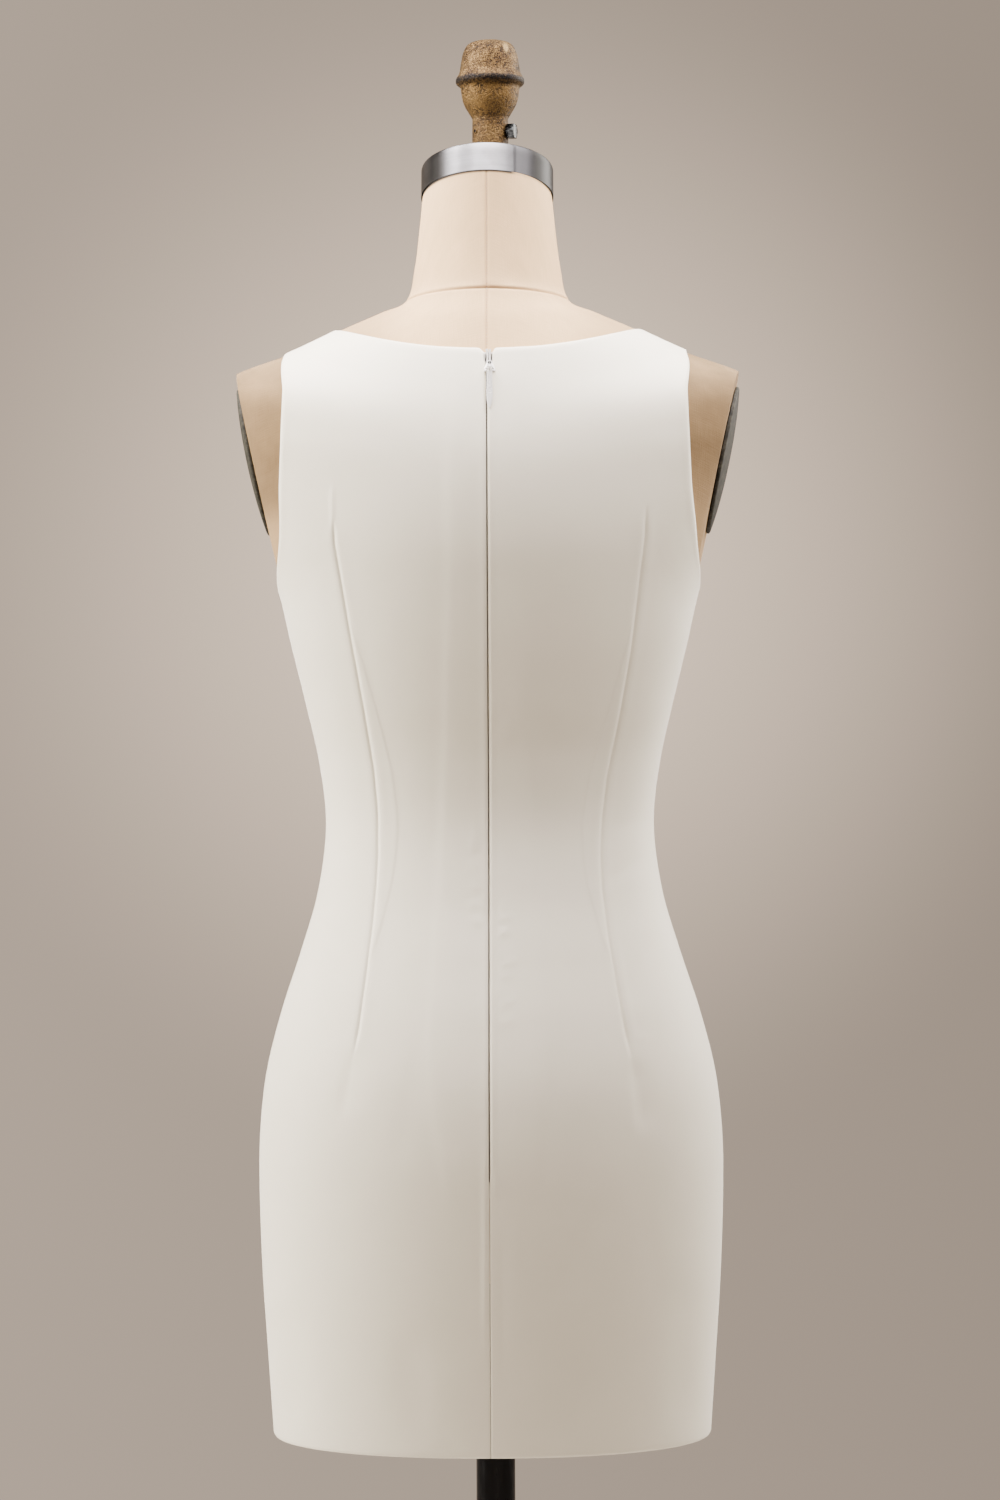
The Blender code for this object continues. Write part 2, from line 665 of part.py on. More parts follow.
def make_form_body(collection, cutters):
    """Padded torso and neck: a loft of the rings, cut flat at the arms."""
    loops = [[surface(angle, level, -form_inset(angle, level))
              for angle in form_angles(level)] for level in form_levels()]
    for point in loops[-1]:
        point.z = NECK_TOP_Z + point.y * math.tan(NECK_LEAN)
    centre = Vector((FORM_X, 0.0, 0.0))
    rounded = []
    for point in loops[0]:
        inward = (centre - Vector((point.x, point.y, 0.0))).normalized()
        foot = point + inward * FORM_BOTTOM_ROUND
        foot.z = FORM_BOTTOM_Z
        rounded.append(foot)
    loops.insert(0, rounded)
    bm = bmesh.new()
    rows = [[bm.verts.new(point) for point in loop] for loop in loops]
    count = len(rows[0])
    for lower, upper in zip(rows, rows[1:]):
        for here in range(count):
            after = (here + 1) % count
            bm.faces.new((lower[after], lower[here], upper[here], upper[after]))
    bm.faces.new(rows[0])
    bm.faces.new(list(reversed(rows[-1])))
    bmesh.ops.recalc_face_normals(bm, faces=bm.faces)
    body = add_mesh("form_body", bm, collection, "canvas", smooth_angle=45)
    for side in (1.0, -1.0):
        bm = bmesh.new()
        beyond = Matrix.Translation((ARM_CUT_SIZE / 2.0, 0.0, 0.0))
        bmesh.ops.create_cube(bm, size=ARM_CUT_SIZE, matrix=arm_face_matrix(side) @ beyond)
        add_boolean(body, add_cutter("arm_cut_" + side_name(side), bm, cutters))
    socket_top = FORM_BOTTOM_Z + POLE_SOCKET_DEPTH
    length = POLE_SOCKET_DEPTH * 2.0
    place = Matrix.Translation((0.0, 0.0, socket_top - length / 2.0))
    socket = cylinder(POLE_RADIUS + FIT, length, 32, place)
    add_boolean(body, add_cutter("pole_socket", socket, cutters))


def side_name(side):
    """The wearer's side: the back is seen from +Y, so the wearer's right is at -X."""
    return "left" if side > 0 else "right"


def arm_face_matrix(side):
    """Frame on the arm's flat face: local X points out of it."""
    lean = math.atan(ARM_FACE_SLOPE)
    middle_x = ARM_FACE_X - (ARM_FACE_Z - PLATE_Z) * ARM_FACE_SLOPE
    place = Matrix.Translation((FORM_X + side * middle_x, 0.0, PLATE_Z))
    if side > 0:
        return place @ Matrix.Rotation(lean, 4, "Y")
    return place @ Matrix.Rotation(-lean, 4, "Y") @ Matrix.Rotation(math.pi, 4, "Z")


def make_arm_plates(collection):
    """Dished oval plates: a profile spun round, then drawn out to the plate's size."""
    for side in (1.0, -1.0):
        bm = bmesh.new()
        points = [bm.verts.new((share, 0.0, up * MM)) for share, up in PLATE_PROFILE]
        lines = [bm.edges.new(pair) for pair in zip(points, points[1:])]
        bmesh.ops.spin(bm, geom=points + lines, cent=(0.0, 0.0, 0.0), axis=(0.0, 0.0, 1.0),
                       angle=math.tau, steps=PLATE_SEGMENTS, use_merge=True)
        bmesh.ops.remove_doubles(bm, verts=bm.verts, dist=0.00001)
        bmesh.ops.recalc_face_normals(bm, faces=bm.faces)
        upright = Matrix.Rotation(math.pi / 2, 4, "Y")
        oval = Matrix.Diagonal((PLATE_HALF_HEIGHT, PLATE_HALF_WIDTH, 1.0, 1.0))
        bmesh.ops.transform(bm, matrix=upright @ oval, verts=bm.verts)
        name = "arm_plate_" + side_name(side)
        plate = add_mesh(name, bm, collection, "plate_grey", smooth_angle=35)
        off = Matrix.Translation((PLATE_GAP, 0.0, 0.0))
        plate.matrix_world = arm_face_matrix(side) @ off


def neck_frame():
    """Frame of the neck's leaning top: local Z points out of it."""
    return (Matrix.Translation((FORM_X, 0.0, NECK_TOP_Z))
            @ Matrix.Rotation(NECK_LEAN, 4, "X"))


def make_neck_band(collection):
    """Steel band with its top plate, a closed cap on the neck."""
    top = FIT + BAND_HEIGHT
    profile = [(0.0, top), (BAND_RADIUS - BAND_ROUND, top),
               (BAND_RADIUS - BAND_ROUND * 0.3, top - BAND_ROUND * 0.3),
               (BAND_RADIUS, top - BAND_ROUND), (BAND_RADIUS, FIT), (0.0, FIT)]
    band = turned("neck_band", profile, collection, "steel", 48)
    band.matrix_world = neck_frame()


def make_finial(collection, cutters):
    """Cast cap over a brim, a bowl and a collar, turned about the pole's axis."""
    seat_z = band_top_z_at_pole()
    profile = [(radius * MM, FINIAL_TOP_Z - down * MM) for radius, down in FINIAL_PROFILE]
    profile += [(FINIAL_COLLAR_RADIUS, seat_z), (0.0, seat_z)]
    finial = turned("finial", profile, collection, "bronze", 32)
    hole_x = -(FINIAL_COLLAR_RADIUS - BOLT_SHANK_DEPTH / 2.0)
    across = (bolt_frame() @ Matrix.Translation((hole_x, 0.0, 0.0))
              @ Matrix.Rotation(math.pi / 2, 4, "Y"))
    thread = cylinder(BOLT_SHANK_RADIUS + FIT, BOLT_SHANK_DEPTH * 1.4, 20, across)
    add_boolean(finial, add_cutter("bolt_hole", thread, cutters))
    hole_place = (Matrix.Translation((0.0, 0.0, BOLT_Z))
                  @ Matrix.Rotation(COLLAR_HOLE_TURN, 4, "Z")
                  @ Matrix.Translation((FINIAL_COLLAR_RADIUS, 0.0, 0.0))
                  @ Matrix.Rotation(math.pi / 2, 4, "Y"))
    small = cylinder(COLLAR_HOLE_RADIUS, COLLAR_HOLE_DEPTH * 2.0, 16, hole_place)
    add_boolean(finial, add_cutter("collar_hole", small, cutters))


def band_top_z_at_pole():
    """Height of a level seat cut for the collar just above the leaning band."""
    high_side = FINIAL_COLLAR_RADIUS * math.sin(NECK_LEAN)
    top = NECK_TOP_Z + (FIT + BAND_HEIGHT) / math.cos(NECK_LEAN)
    return top + high_side + FIT


def bolt_frame():
    """Frame on the collar's axis: the bolt points along local -X."""
    return Matrix.Translation((0.0, 0.0, BOLT_Z)) @ Matrix.Rotation(BOLT_TURN, 4, "Z")


def make_set_bolt(collection, cutters):
    """Hexagon bolt through the collar's side."""
    outer = FINIAL_COLLAR_RADIUS + FIT
    hex_radius = BOLT_HEAD_ACROSS_FLATS / math.sqrt(3.0)
    turn = Matrix.Rotation(math.pi / 2, 4, "Y")
    head_x = -(outer + BOLT_HEAD_LENGTH / 2.0)
    head = bolt_frame() @ Matrix.Translation((head_x, 0.0, 0.0)) @ turn
    bolt = add_mesh("set_bolt", cylinder(hex_radius, BOLT_HEAD_LENGTH, 6, head), collection,
                    "steel", smooth_angle=30)
    shank_length = BOLT_SHANK_DEPTH - FIT + BOLT_HEAD_LENGTH / 2.0
    inner_end = FINIAL_COLLAR_RADIUS - BOLT_SHANK_DEPTH + FIT
    shank_x = -(inner_end + shank_length / 2.0)
    shank = cylinder(BOLT_SHANK_RADIUS, shank_length, 16,
                     bolt_frame() @ Matrix.Translation((shank_x, 0.0, 0.0)) @ turn)
    add_boolean(bolt, add_cutter("bolt_shank", shank, cutters), "UNION")


# ------------------------------------------------------------------------------- stand
def make_pole(collection):
    bottom = BASE_THICKNESS + FIT
    top = FORM_BOTTOM_Z + POLE_SOCKET_DEPTH - FIT
    middle = Matrix.Translation((0.0, 0.0, (bottom + top) / 2.0))
    add_mesh("pole", cylinder(POLE_RADIUS, top - bottom, 32, middle), collection,
             "pole_black", smooth_angle=40)


def make_base(collection):
    """Round plate with a hub that the pole stands in."""
    edge = BASE_EDGE_ROUND
    foot = BASE_FOOT_ROUND
    bore = POLE_RADIUS + FIT
    floor_of_bore = [(0.0, BASE_THICKNESS), (bore, BASE_THICKNESS)]
    hub = [(bore, BASE_THICKNESS + HUB_PROFILE[0][1] * MM)]
    hub += [(radius * MM, BASE_THICKNESS + up * MM) for radius, up in HUB_PROFILE]
    plate = [(BASE_RADIUS - edge, BASE_THICKNESS),
             (BASE_RADIUS - edge * 0.3, BASE_THICKNESS - edge * 0.3),
             (BASE_RADIUS, BASE_THICKNESS - edge), (BASE_RADIUS, foot),
             (BASE_RADIUS - foot, 0.0), (0.0, 0.0)]
    turned("base", floor_of_bore + hub + plate, collection, "pole_black", 48)


def main():
    for thing in list(bpy.data.objects):
        bpy.data.objects.remove(thing)
    parts = new_collection(OBJECT_NAME)
    cutters = new_collection("cutters")
    make_dress(parts)
    make_zip_tape(parts)
    make_zip_slider(parts, cutters)
    make_zip_pull(parts)
    make_form_body(parts, cutters)
    make_arm_plates(parts)
    make_neck_band(parts)
    make_finial(parts, cutters)
    make_set_bolt(parts, cutters)
    make_pole(parts)
    make_base(parts)


main()
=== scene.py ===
"""Looks of a fitted sleeveless dress on a limbless form: cloth, zip, canvas and metal.

Metres, +Z up, the floor at z = 0. The front of the dress faces -Y, and its zipped back
faces +Y, towards the camera. Tables are in millimetres: x from the form's centre line,
positive on the wearer's left, and z from the floor.
"""
import math
from functools import partial

import bmesh
import bpy
import numpy as np
from mathutils import Matrix, Vector


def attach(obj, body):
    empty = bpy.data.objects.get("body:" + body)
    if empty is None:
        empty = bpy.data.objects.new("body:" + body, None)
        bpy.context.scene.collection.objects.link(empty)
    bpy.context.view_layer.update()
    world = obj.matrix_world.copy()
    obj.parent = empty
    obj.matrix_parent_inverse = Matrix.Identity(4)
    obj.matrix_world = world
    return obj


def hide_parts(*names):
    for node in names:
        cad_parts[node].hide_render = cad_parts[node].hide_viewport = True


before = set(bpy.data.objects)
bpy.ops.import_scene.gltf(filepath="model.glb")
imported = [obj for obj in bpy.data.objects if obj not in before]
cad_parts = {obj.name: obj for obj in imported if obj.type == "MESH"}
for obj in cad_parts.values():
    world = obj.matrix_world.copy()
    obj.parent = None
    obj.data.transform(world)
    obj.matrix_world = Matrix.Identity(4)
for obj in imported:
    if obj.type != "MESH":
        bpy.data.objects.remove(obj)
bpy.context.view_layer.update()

MM = 0.001

# ------------------------------------------------------------------ the dress's surface
CLOTH = 0.0012              # thickness of the wall
SEAM_GAP = 0.0003           # between two panels at a seam
ZIP_GAP = 0.0011            # between the back panels along the zip
ZIP_END_Z = 787.0
# The zip is open above its slider: side, height where that starts, and width at the top.
ZIP_OPEN = {1.0: (1376.0, 0.0017), -1.0: (1371.0, 0.0038)}
ZIP_OPEN_TAPER = 9.0
SEAM_SNAP = 0.05            # an edge this near the full width is on the side seam
ARMHOLE_SHIFT = 1.7         # the back hangs this far to one side between its armholes
SHIFT_FADE = 0.12           # in levels, at the shoulder's tip
FORM_X = 0.0024             # the form sits this far to the +X side of its pole
EASE = 0.0015               # cloth to form where the dress stands off
SEAT = 0.0006               # and on the shoulders, which carry the dress
ZIP_RELIEF = 0.0009
ZIP_RELIEF_HALF_WIDTH = 0.016
UNDERARM_RELIEF = 0.0010
UNDERARM_LEVELS = 0.5
FORM_BOTTOM_Z = 0.712
FORM_BOTTOM_ROUND = 0.006
NECK_LEAN = math.radians(16.0)
NECK_TOP_Z = 1.510

RING_COLUMNS = (
    "z_side", "half_width", "z_back", "back", "z_front", "front",
    "square_back", "square_front", "armhole_back", "armhole_front", "flat")
RINGS = {
    "hem": (586, 163.6, 586, 109.0, 586, 96.0, 2.20, 2.20, 163.6, 163.6, 0),
    "low_thigh": (646, 167.6, 646, 113.5, 646, 98.0, 2.20, 2.20, 167.6, 167.6, 0),
    "thigh": (706, 171.4, 706, 117.5, 706, 100.0, 2.20, 2.20, 171.4, 171.4, 0),
    "low_hip": (766, 173.4, 766, 120.0, 766, 101.5, 2.20, 2.20, 173.4, 173.4, 0),
    "hip": (811, 172.9, 811, 120.0, 811, 102.0, 2.20, 2.20, 172.9, 172.9, 0),
    "seat": (856, 168.0, 856, 116.5, 856, 101.5, 2.20, 2.20, 168.0, 168.0, 0),
    "high_hip": (901, 156.8, 901, 108.0, 901, 100.0, 2.20, 2.20, 156.8, 156.8, 0),
    "belly": (946, 142.1, 946, 96.5, 946, 97.5, 2.22, 2.22, 142.1, 142.1, 0),
    "under_waist": (991, 129.0, 991, 85.5, 991, 92.5, 2.25, 2.25, 129.0, 129.0, 0),
    "waist": (1040, 122.8, 1040, 79.0, 1040, 88.0, 2.25, 2.25, 122.8, 122.8, 0),
    "over_waist": (1086, 127.4, 1086, 81.0, 1086, 91.5, 2.25, 2.25, 127.4, 127.4, 0),
    "ribs": (1131, 137.4, 1131, 88.0, 1131, 100.0, 2.25, 2.25, 137.4, 137.4, 0),
    "bust": (1175, 148.2, 1175, 95.0, 1175, 112.0, 2.22, 2.25, 148.2, 148.2, 0),
    "underarm": (1216, 157.9, 1216, 100.5, 1216, 114.0, 2.18, 2.20, 157.9, 157.9, 0),
    "low_arm": (1256, 173.0, 1248, 104.0, 1248, 110.0, 2.08, 2.10, 154.4, 150.0, 0),
    "mid_arm": (1300, 192.0, 1282, 105.0, 1280, 103.0, 1.95, 2.00, 151.8, 143.0, 0),
    "high_arm": (1342, 205.0, 1312, 103.5, 1306, 94.5, 1.90, 1.95, 150.0, 141.0, 0),
    "shoulder_end": (1374, 200.0, 1338, 99.5, 1324, 87.0, 1.90, 1.95, 148.8, 142.5, 0),
    "shoulder_tip": (1395.2, 148.4, 1363, 93.0, 1335, 80.5, 2.0, 2.0, 148.4, 148.4, 0),
    "neckline": (1411.2, 113.5, 1389, 83.5, 1346, 74.5, 2.10, 2.10, 113.5, 113.5, 0),
    "nape": (1425, 81.5, 1413, 71.5, 1378, 61.0, 2.0, 2.0, 81.5, 81.5, 0),
    "neck_seam": (1433.5, 62.4, 1436, 60.0, 1407, 51.5, 2.0, 2.0, 62.4, 62.4, 0.2),
    "low_neck": (1457, 56.4, 1464, 54.5, 1439, 51.0, 2.0, 2.0, 56.4, 56.4, 0.7),
    "mid_neck": (1483, 53.0, 1494, 51.5, 1469, 50.5, 2.0, 2.0, 53.0, 53.0, 1),
    "neck_top": (1510, 50.2, 1524.4, 50.2, 1495.6, 50.2, 2.0, 2.0, 50.2, 50.2, 1),
}
RING_NAMES = tuple(RINGS)
RING_ROWS = np.array(list(RINGS.values()), float)
LAST_LEVEL = len(RING_NAMES) - 1

# Bust: x, z, rise, half width and half height.
CUPS = ((80.0, 1172.0, 19.0, 40.0, 44.0), (-80.0, 1172.0, 19.0, 40.0, 44.0))
NEAR = 0.004                # step in angle and level for the face's normal


def level_of(name):
    return RING_NAMES.index(name)


def rings(level):
    """Sizes of the rings at an array of levels, each size an array."""
    level = np.clip(np.asarray(level, float), 0.0, LAST_LEVEL)
    low = np.minimum(level.astype(int), LAST_LEVEL - 1)
    t = (level - low)[..., None]
    before, start, end, after = (
        RING_ROWS[np.clip(low + step, 0, LAST_LEVEL)] for step in (-1, 0, 1, 2))
    slope_in = (end - before) / 2.0
    slope_out = (after - start) / 2.0
    sizes = (start * (2 * t ** 3 - 3 * t ** 2 + 1) + slope_in * (t ** 3 - 2 * t ** 2 + t)
             + end * (3 * t ** 2 - 2 * t ** 3) + slope_out * (t ** 3 - t ** 2))
    return dict(zip(RING_COLUMNS, np.moveaxis(sizes, -1, 0)))


FINE_LEVELS = np.linspace(0.0, LAST_LEVEL, 4801)
FINE_HEIGHTS = rings(FINE_LEVELS)["z_back"]


def level_at_back_height(z):
    """Level whose ring crosses the centre back at z millimetres."""
    return np.interp(z, FINE_HEIGHTS, FINE_LEVELS)


def cup_rise(x, z):
    """How far the bust stands out of the plain front, in millimetres."""
    rise = 0.0
    for middle_x, middle_z, cup, half_width, half_height in CUPS:
        across = (x - middle_x) / half_width
        up = (z - middle_z) / half_height
        rise = rise + cup * np.exp(-(across ** 2 + up ** 2) / 2.0)
    return rise


def face_points(angle, level):
    """Points of the dress's outer face. The angle is 0 at the back, 90 degrees at +X."""
    size = rings(level)
    sine, cosine = np.sin(angle), np.cos(angle)
    at_back = cosine >= 0.0
    depth = np.where(at_back, size["back"], size["front"])
    square = np.where(at_back, size["square_back"], size["square_front"])
    end_z = np.where(at_back, size["z_back"], size["z_front"])
    reach = np.abs(sine / size["half_width"]) ** square + np.abs(cosine / depth) ** square
    reach = reach ** (-1.0 / square)
    x, y = reach * sine, reach * cosine
    share = np.abs(y) / depth
    share = size["flat"] * share + (1.0 - size["flat"]) * share ** 2
    z = size["z_side"] + (end_z - size["z_side"]) * share
    y = np.where(at_back, y, y - cup_rise(x, z) * share)
    return np.stack([x * MM + FORM_X, y * MM, z * MM], axis=-1)


def face_normals(angle, level):
    around = face_points(angle + NEAR, level) - face_points(angle - NEAR, level)
    up = face_points(angle, level + NEAR) - face_points(angle, level - NEAR)
    normal = np.cross(up, around)
    return normal / np.linalg.norm(normal, axis=-1, keepdims=True)


def surface(angle, level, out=0.0):
    """Points on the face, moved along its normal by out, in metres."""
    out = np.asarray(out, float)
    return face_points(angle, level) + face_normals(angle, level) * out[..., None]


def angle_at_width(x, level, at_back=True):
    """Angle at which the ring is x millimetres from the centre line."""
    size = rings(level)
    depth = size["back"] if at_back else size["front"]
    square = size["square_back"] if at_back else size["square_front"]
    ratio = np.minimum(np.abs(x) / size["half_width"], 1.0)
    y = depth * (1.0 - ratio ** square) ** (1.0 / square)
    angle = np.arctan2(np.abs(x), y)
    return angle if at_back else math.pi - angle


def side_angle(level, at_back, side=0.0):
    """Angle of a panel's outer edge: side seam, armhole or shoulder seam."""
    size = rings(level)
    edge = size["armhole_back"] if at_back else size["armhole_front"]
    inside = (smooth_step((level_of("shoulder_tip") - level) / SHIFT_FADE)
              * smooth_step(level - level_of("low_arm")))
    edge = edge + side * ARMHOLE_SHIFT * inside
    on_seam = edge > size["half_width"] - SEAM_SNAP
    quarter = math.pi / 2
    half_gap = np.arctan2(SEAM_GAP / 2.0, size["half_width"] * MM)
    angle = np.where(on_seam, quarter, angle_at_width(edge, level, at_back))
    if at_back:
        return np.minimum(angle, quarter - half_gap)
    return np.maximum(angle, quarter + half_gap)


def centre_angle(level, side):
    """Angle of one back panel's centre edge, which stands off above the zip's slider."""
    size = rings(level)
    gap = np.where(size["z_back"] > ZIP_END_Z, ZIP_GAP, SEAM_GAP) / 2.0
    start, extra = ZIP_OPEN[side]
    gap = gap + extra * smooth_step((size["z_back"] - start) / ZIP_OPEN_TAPER)
    return np.arctan2(gap, size["back"] * MM)


# ----------------------------------------------------------------------- small tools
FINE_WELD, WELD, FORM_WELD = 0.000002, 0.000005, 0.00001    # points this near are joined


def smooth_step(value):
    """0 below 0, 1 above 1, and smooth between."""
    value = np.clip(value, 0.0, 1.0)
    return value * value * (3.0 - 2.0 * value)


def soft_edge(distance, width):
    """1 well inside (negative distance), 0 well outside."""
    return 0.5 - 0.5 * np.tanh(distance / width)


def hump(distance, width):
    """1 at no distance, and 0 from two widths or so."""
    return np.exp(-(distance / width) ** 2)


def table_value(table, place):
    """Value between the rows of a table of (place, value)."""
    return np.interp(place, *np.array(sorted(table)).T)


def rounded_path(points, rounds=2):
    """Points of a broken line with its corners cut off."""
    path = np.array(points, float)
    for _ in range(rounds):
        if len(path) < 3:
            break
        near = path[:-1] * 0.75 + path[1:] * 0.25
        far = path[:-1] * 0.25 + path[1:] * 0.75
        inner = np.stack([near, far], axis=1).reshape(-1, 2)
        path = np.vstack([path[:1], inner[1:-1], path[-1:]])
    return path


def crease(x, z, points, width, rise, run_out=0.3):
    """Soft ridge along a path, or a trough where rise is negative, run out at its ends."""
    path = rounded_path(points)
    lengths = np.hypot(*np.diff(path, axis=0).T)
    nearest = np.full(np.shape(x), np.inf)
    along = np.zeros(np.shape(x))
    done = 0.0
    for start, end, length in zip(path, path[1:], lengths):
        step = (end - start) / length
        t = np.clip((x - start[0]) * step[0] + (z - start[1]) * step[1], 0.0, length)
        gap = np.hypot(x - start[0] - t * step[0], z - start[1] - t * step[1])
        along = np.where(gap < nearest, (done + t) / lengths.sum(), along)
        nearest = np.minimum(gap, nearest)
        done += length
    ends = smooth_step(np.minimum(along, 1.0 - along) / run_out)
    return rise * ends * hump(nearest, width)


def creases(x, z, rows):
    return sum(crease(x, z, path, width, rise) for path, width, rise in rows)


def run_lengths(points, axis):
    """Length up to each point of a grid, along its rows (axis 1) or columns (axis 0)."""
    steps = np.linalg.norm(np.diff(points, axis=axis), axis=2)
    return np.insert(np.cumsum(steps, axis=axis), 0, 0.0, axis=axis)


def grid_mesh(points):
    """Mesh of an array of points, rows upwards, with a UV map in metres, centred across."""
    rows, columns = points.shape[:2]
    bm = bmesh.new()
    bmesh.ops.create_grid(bm, x_segments=columns - 1, y_segments=rows - 1, size=0.5)
    places = []
    for vertex in bm.verts:
        column = round((vertex.co.x + 0.5) * (columns - 1))
        row = rows - 1 - round((vertex.co.y + 0.5) * (rows - 1))
        vertex.co = points[row, column]
        places.append((row, column))
    across, up = run_lengths(points, 1), run_lengths(points, 0)
    across -= across[:, -1:] / 2.0
    layer = bm.loops.layers.uv.new("cloth")
    bm.verts.index_update()
    for face in bm.faces:
        for loop in face.loops:
            row, column = places[loop.vert.index]
            loop[layer].uv = (across[row, column], up[row, column])
    return bm


def welded(bm, gap):
    """The shape with its seams joined and its faces turned outwards."""
    bmesh.ops.remove_doubles(bm, verts=bm.verts, dist=gap)
    bmesh.ops.recalc_face_normals(bm, faces=bm.faces)
    return bm


def moved(bm, matrix):
    bmesh.ops.transform(bm, matrix=matrix, verts=bm.verts)
    return bm


def closed_shape(loops):
    """Solid from closed loops of points, one row of the array each, with its ends capped."""
    loops = np.asarray(loops, float)
    ends = loops[[0, -1]].mean(axis=1, keepdims=True).repeat(loops.shape[1], axis=1)
    loops = np.concatenate([ends[:1], loops, ends[1:]])
    return welded(grid_mesh(np.concatenate([loops, loops[:, :1]], axis=1)), FINE_WELD)


def tube(path, radii, sides=8):
    """Round wire or thread along a path of points."""
    path = np.array(path, float)
    radii = np.broadcast_to(radii, len(path))
    turns = np.arange(sides) * math.tau / sides
    circle = [Vector((math.cos(turn), math.sin(turn), 0.0)) for turn in turns]
    loops = []
    for point, step, radius in zip(path, np.gradient(path, axis=0), radii):
        facing = Vector(step).to_track_quat("Z", "Y")
        loops.append([facing @ (place * float(radius)) + Vector(point) for place in circle])
    return closed_shape(loops)


def add_piece(name, bm, material, shade_angle=None):
    """Object of the shape, smooth where its faces meet at less than the angle in degrees."""
    mesh = bpy.data.meshes.new(name)
    bm.to_mesh(mesh)
    bm.free()
    if shade_angle is not None:
        mesh.shade_smooth()
        mesh.set_sharp_from_angle(angle=math.radians(shade_angle))
    piece = bpy.data.objects.new(name, mesh)
    bpy.context.scene.collection.objects.link(piece)
    mesh.materials.append(material)
    return piece


def add_value(piece, name, values):
    """A number for each vertex, which a finish reads by its name."""
    layer = piece.data.attributes.new(name, "FLOAT", "POINT")
    layer.data.foreach_set("value", np.asarray(values, np.float32))


def vertex_places(piece):
    return np.array([vertex.co for vertex in piece.data.vertices])


def settle(piece, body, slot, *nodes):
    """The piece rides on a body and stands for some nodes, which are hidden; the slot is not
    used.
    """
    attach(piece, body)
    if nodes:
        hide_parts(*nodes)
    return piece


def add_wall(piece, thickness):
    wall = piece.modifiers.new("wall", "SOLIDIFY")
    wall.thickness = thickness
    wall.offset = -1.0


def add_bevel(piece, width):
    bevel = piece.modifiers.new("edge", "BEVEL")
    bevel.width = width
    bevel.segments = 2
    bevel.limit_method = "ANGLE"
    bevel.angle_limit = math.radians(55.0)


def turned_shape(profile, steps, matrix):
    """Solid of revolution about the matrix's Z, from a profile of (radius, height)."""
    bm = bmesh.new()
    points = [bm.verts.new((radius, 0.0, height)) for radius, height in profile]
    edges = [bm.edges.new(pair) for pair in zip(points, points[1:])]
    bmesh.ops.spin(bm, geom=points + edges, cent=(0, 0, 0), axis=(0, 0, 1),
                   angle=math.tau, steps=steps, use_merge=True)
    return moved(welded(bm, WELD), matrix)


def ring_row(reach, angles, height):
    """Points round the Z axis, at angles from +Y."""
    return np.column_stack([reach * np.sin(angles), reach * np.cos(angles),
                            np.full(len(angles), height)])


def turned_grid(profile, steps, reach_at=None):
    """The same with a UV map; reach_at may make its radius uneven round the axis."""
    angles = np.linspace(0.0, -math.tau, steps + 1)
    rows = []
    for radius, height in profile:
        reach = reach_at(radius, height, angles) if reach_at else radius
        rows.append(ring_row(reach, angles, height))
    return welded(grid_mesh(np.stack(rows)), WELD)


def joined(first, *others):
    """One bmesh with the shapes of several."""
    for other in others:
        mesh = bpy.data.meshes.new("part")
        other.to_mesh(mesh)
        other.free()
        first.from_mesh(mesh)
        bpy.data.meshes.remove(mesh)
    return first


# ------------------------------------------------------------------------- materials
SOCKETS = {"sheen": "Sheen Weight", "sheen_roughness": "Sheen Roughness",
           "specular": "Specular IOR Level", "stretched": "Anisotropic",
           "stretch_turn": "Anisotropic Rotation", "colour": "Base Color",
           "roughness": "Roughness", "metallic": "Metallic", "normal": "Normal",
           "tangent": "Tangent"}


def scaled(colour, share):
    return tuple(part * share for part in colour)


class Nodes:
    """Short ways to add and join nodes."""

    def __init__(self, tree):
        self.tree = tree

    def node(self, kind, inputs=None, **settings):
        node = self.tree.nodes.new(kind)
        for setting, value in settings.items():
            setattr(node, setting, value)
        for socket, value in (inputs or {}).items():
            if isinstance(value, bpy.types.NodeSocket):
                self.tree.links.new(value, node.inputs[socket])
            else:
                node.inputs[socket].default_value = value
        return node

    def math(self, operation, first, second=0.5, third=0.5):
        node = self.node("ShaderNodeMath", {0: first, 1: second, 2: third},
                         operation=operation)
        return node.outputs[0]

    def vector(self, operation, output, **inputs):
        """A vector operation; its inputs are given as a0, a1 and so on, or Scale."""
        named = {int(key[1:]) if key[0] == "a" else key: value
                 for key, value in inputs.items()}
        return self.node("ShaderNodeVectorMath", named, operation=operation).outputs[output]

    def spread(self, value, low, high, start=0.0, end=1.0, kind="LINEAR"):
        """The value's range from start to end moved to low to high."""
        node = self.node("ShaderNodeMapRange", {
            "Value": value, "From Min": start, "From Max": end, "To Min": low,
            "To Max": high}, interpolation_type=kind)
        return node.outputs["Result"]


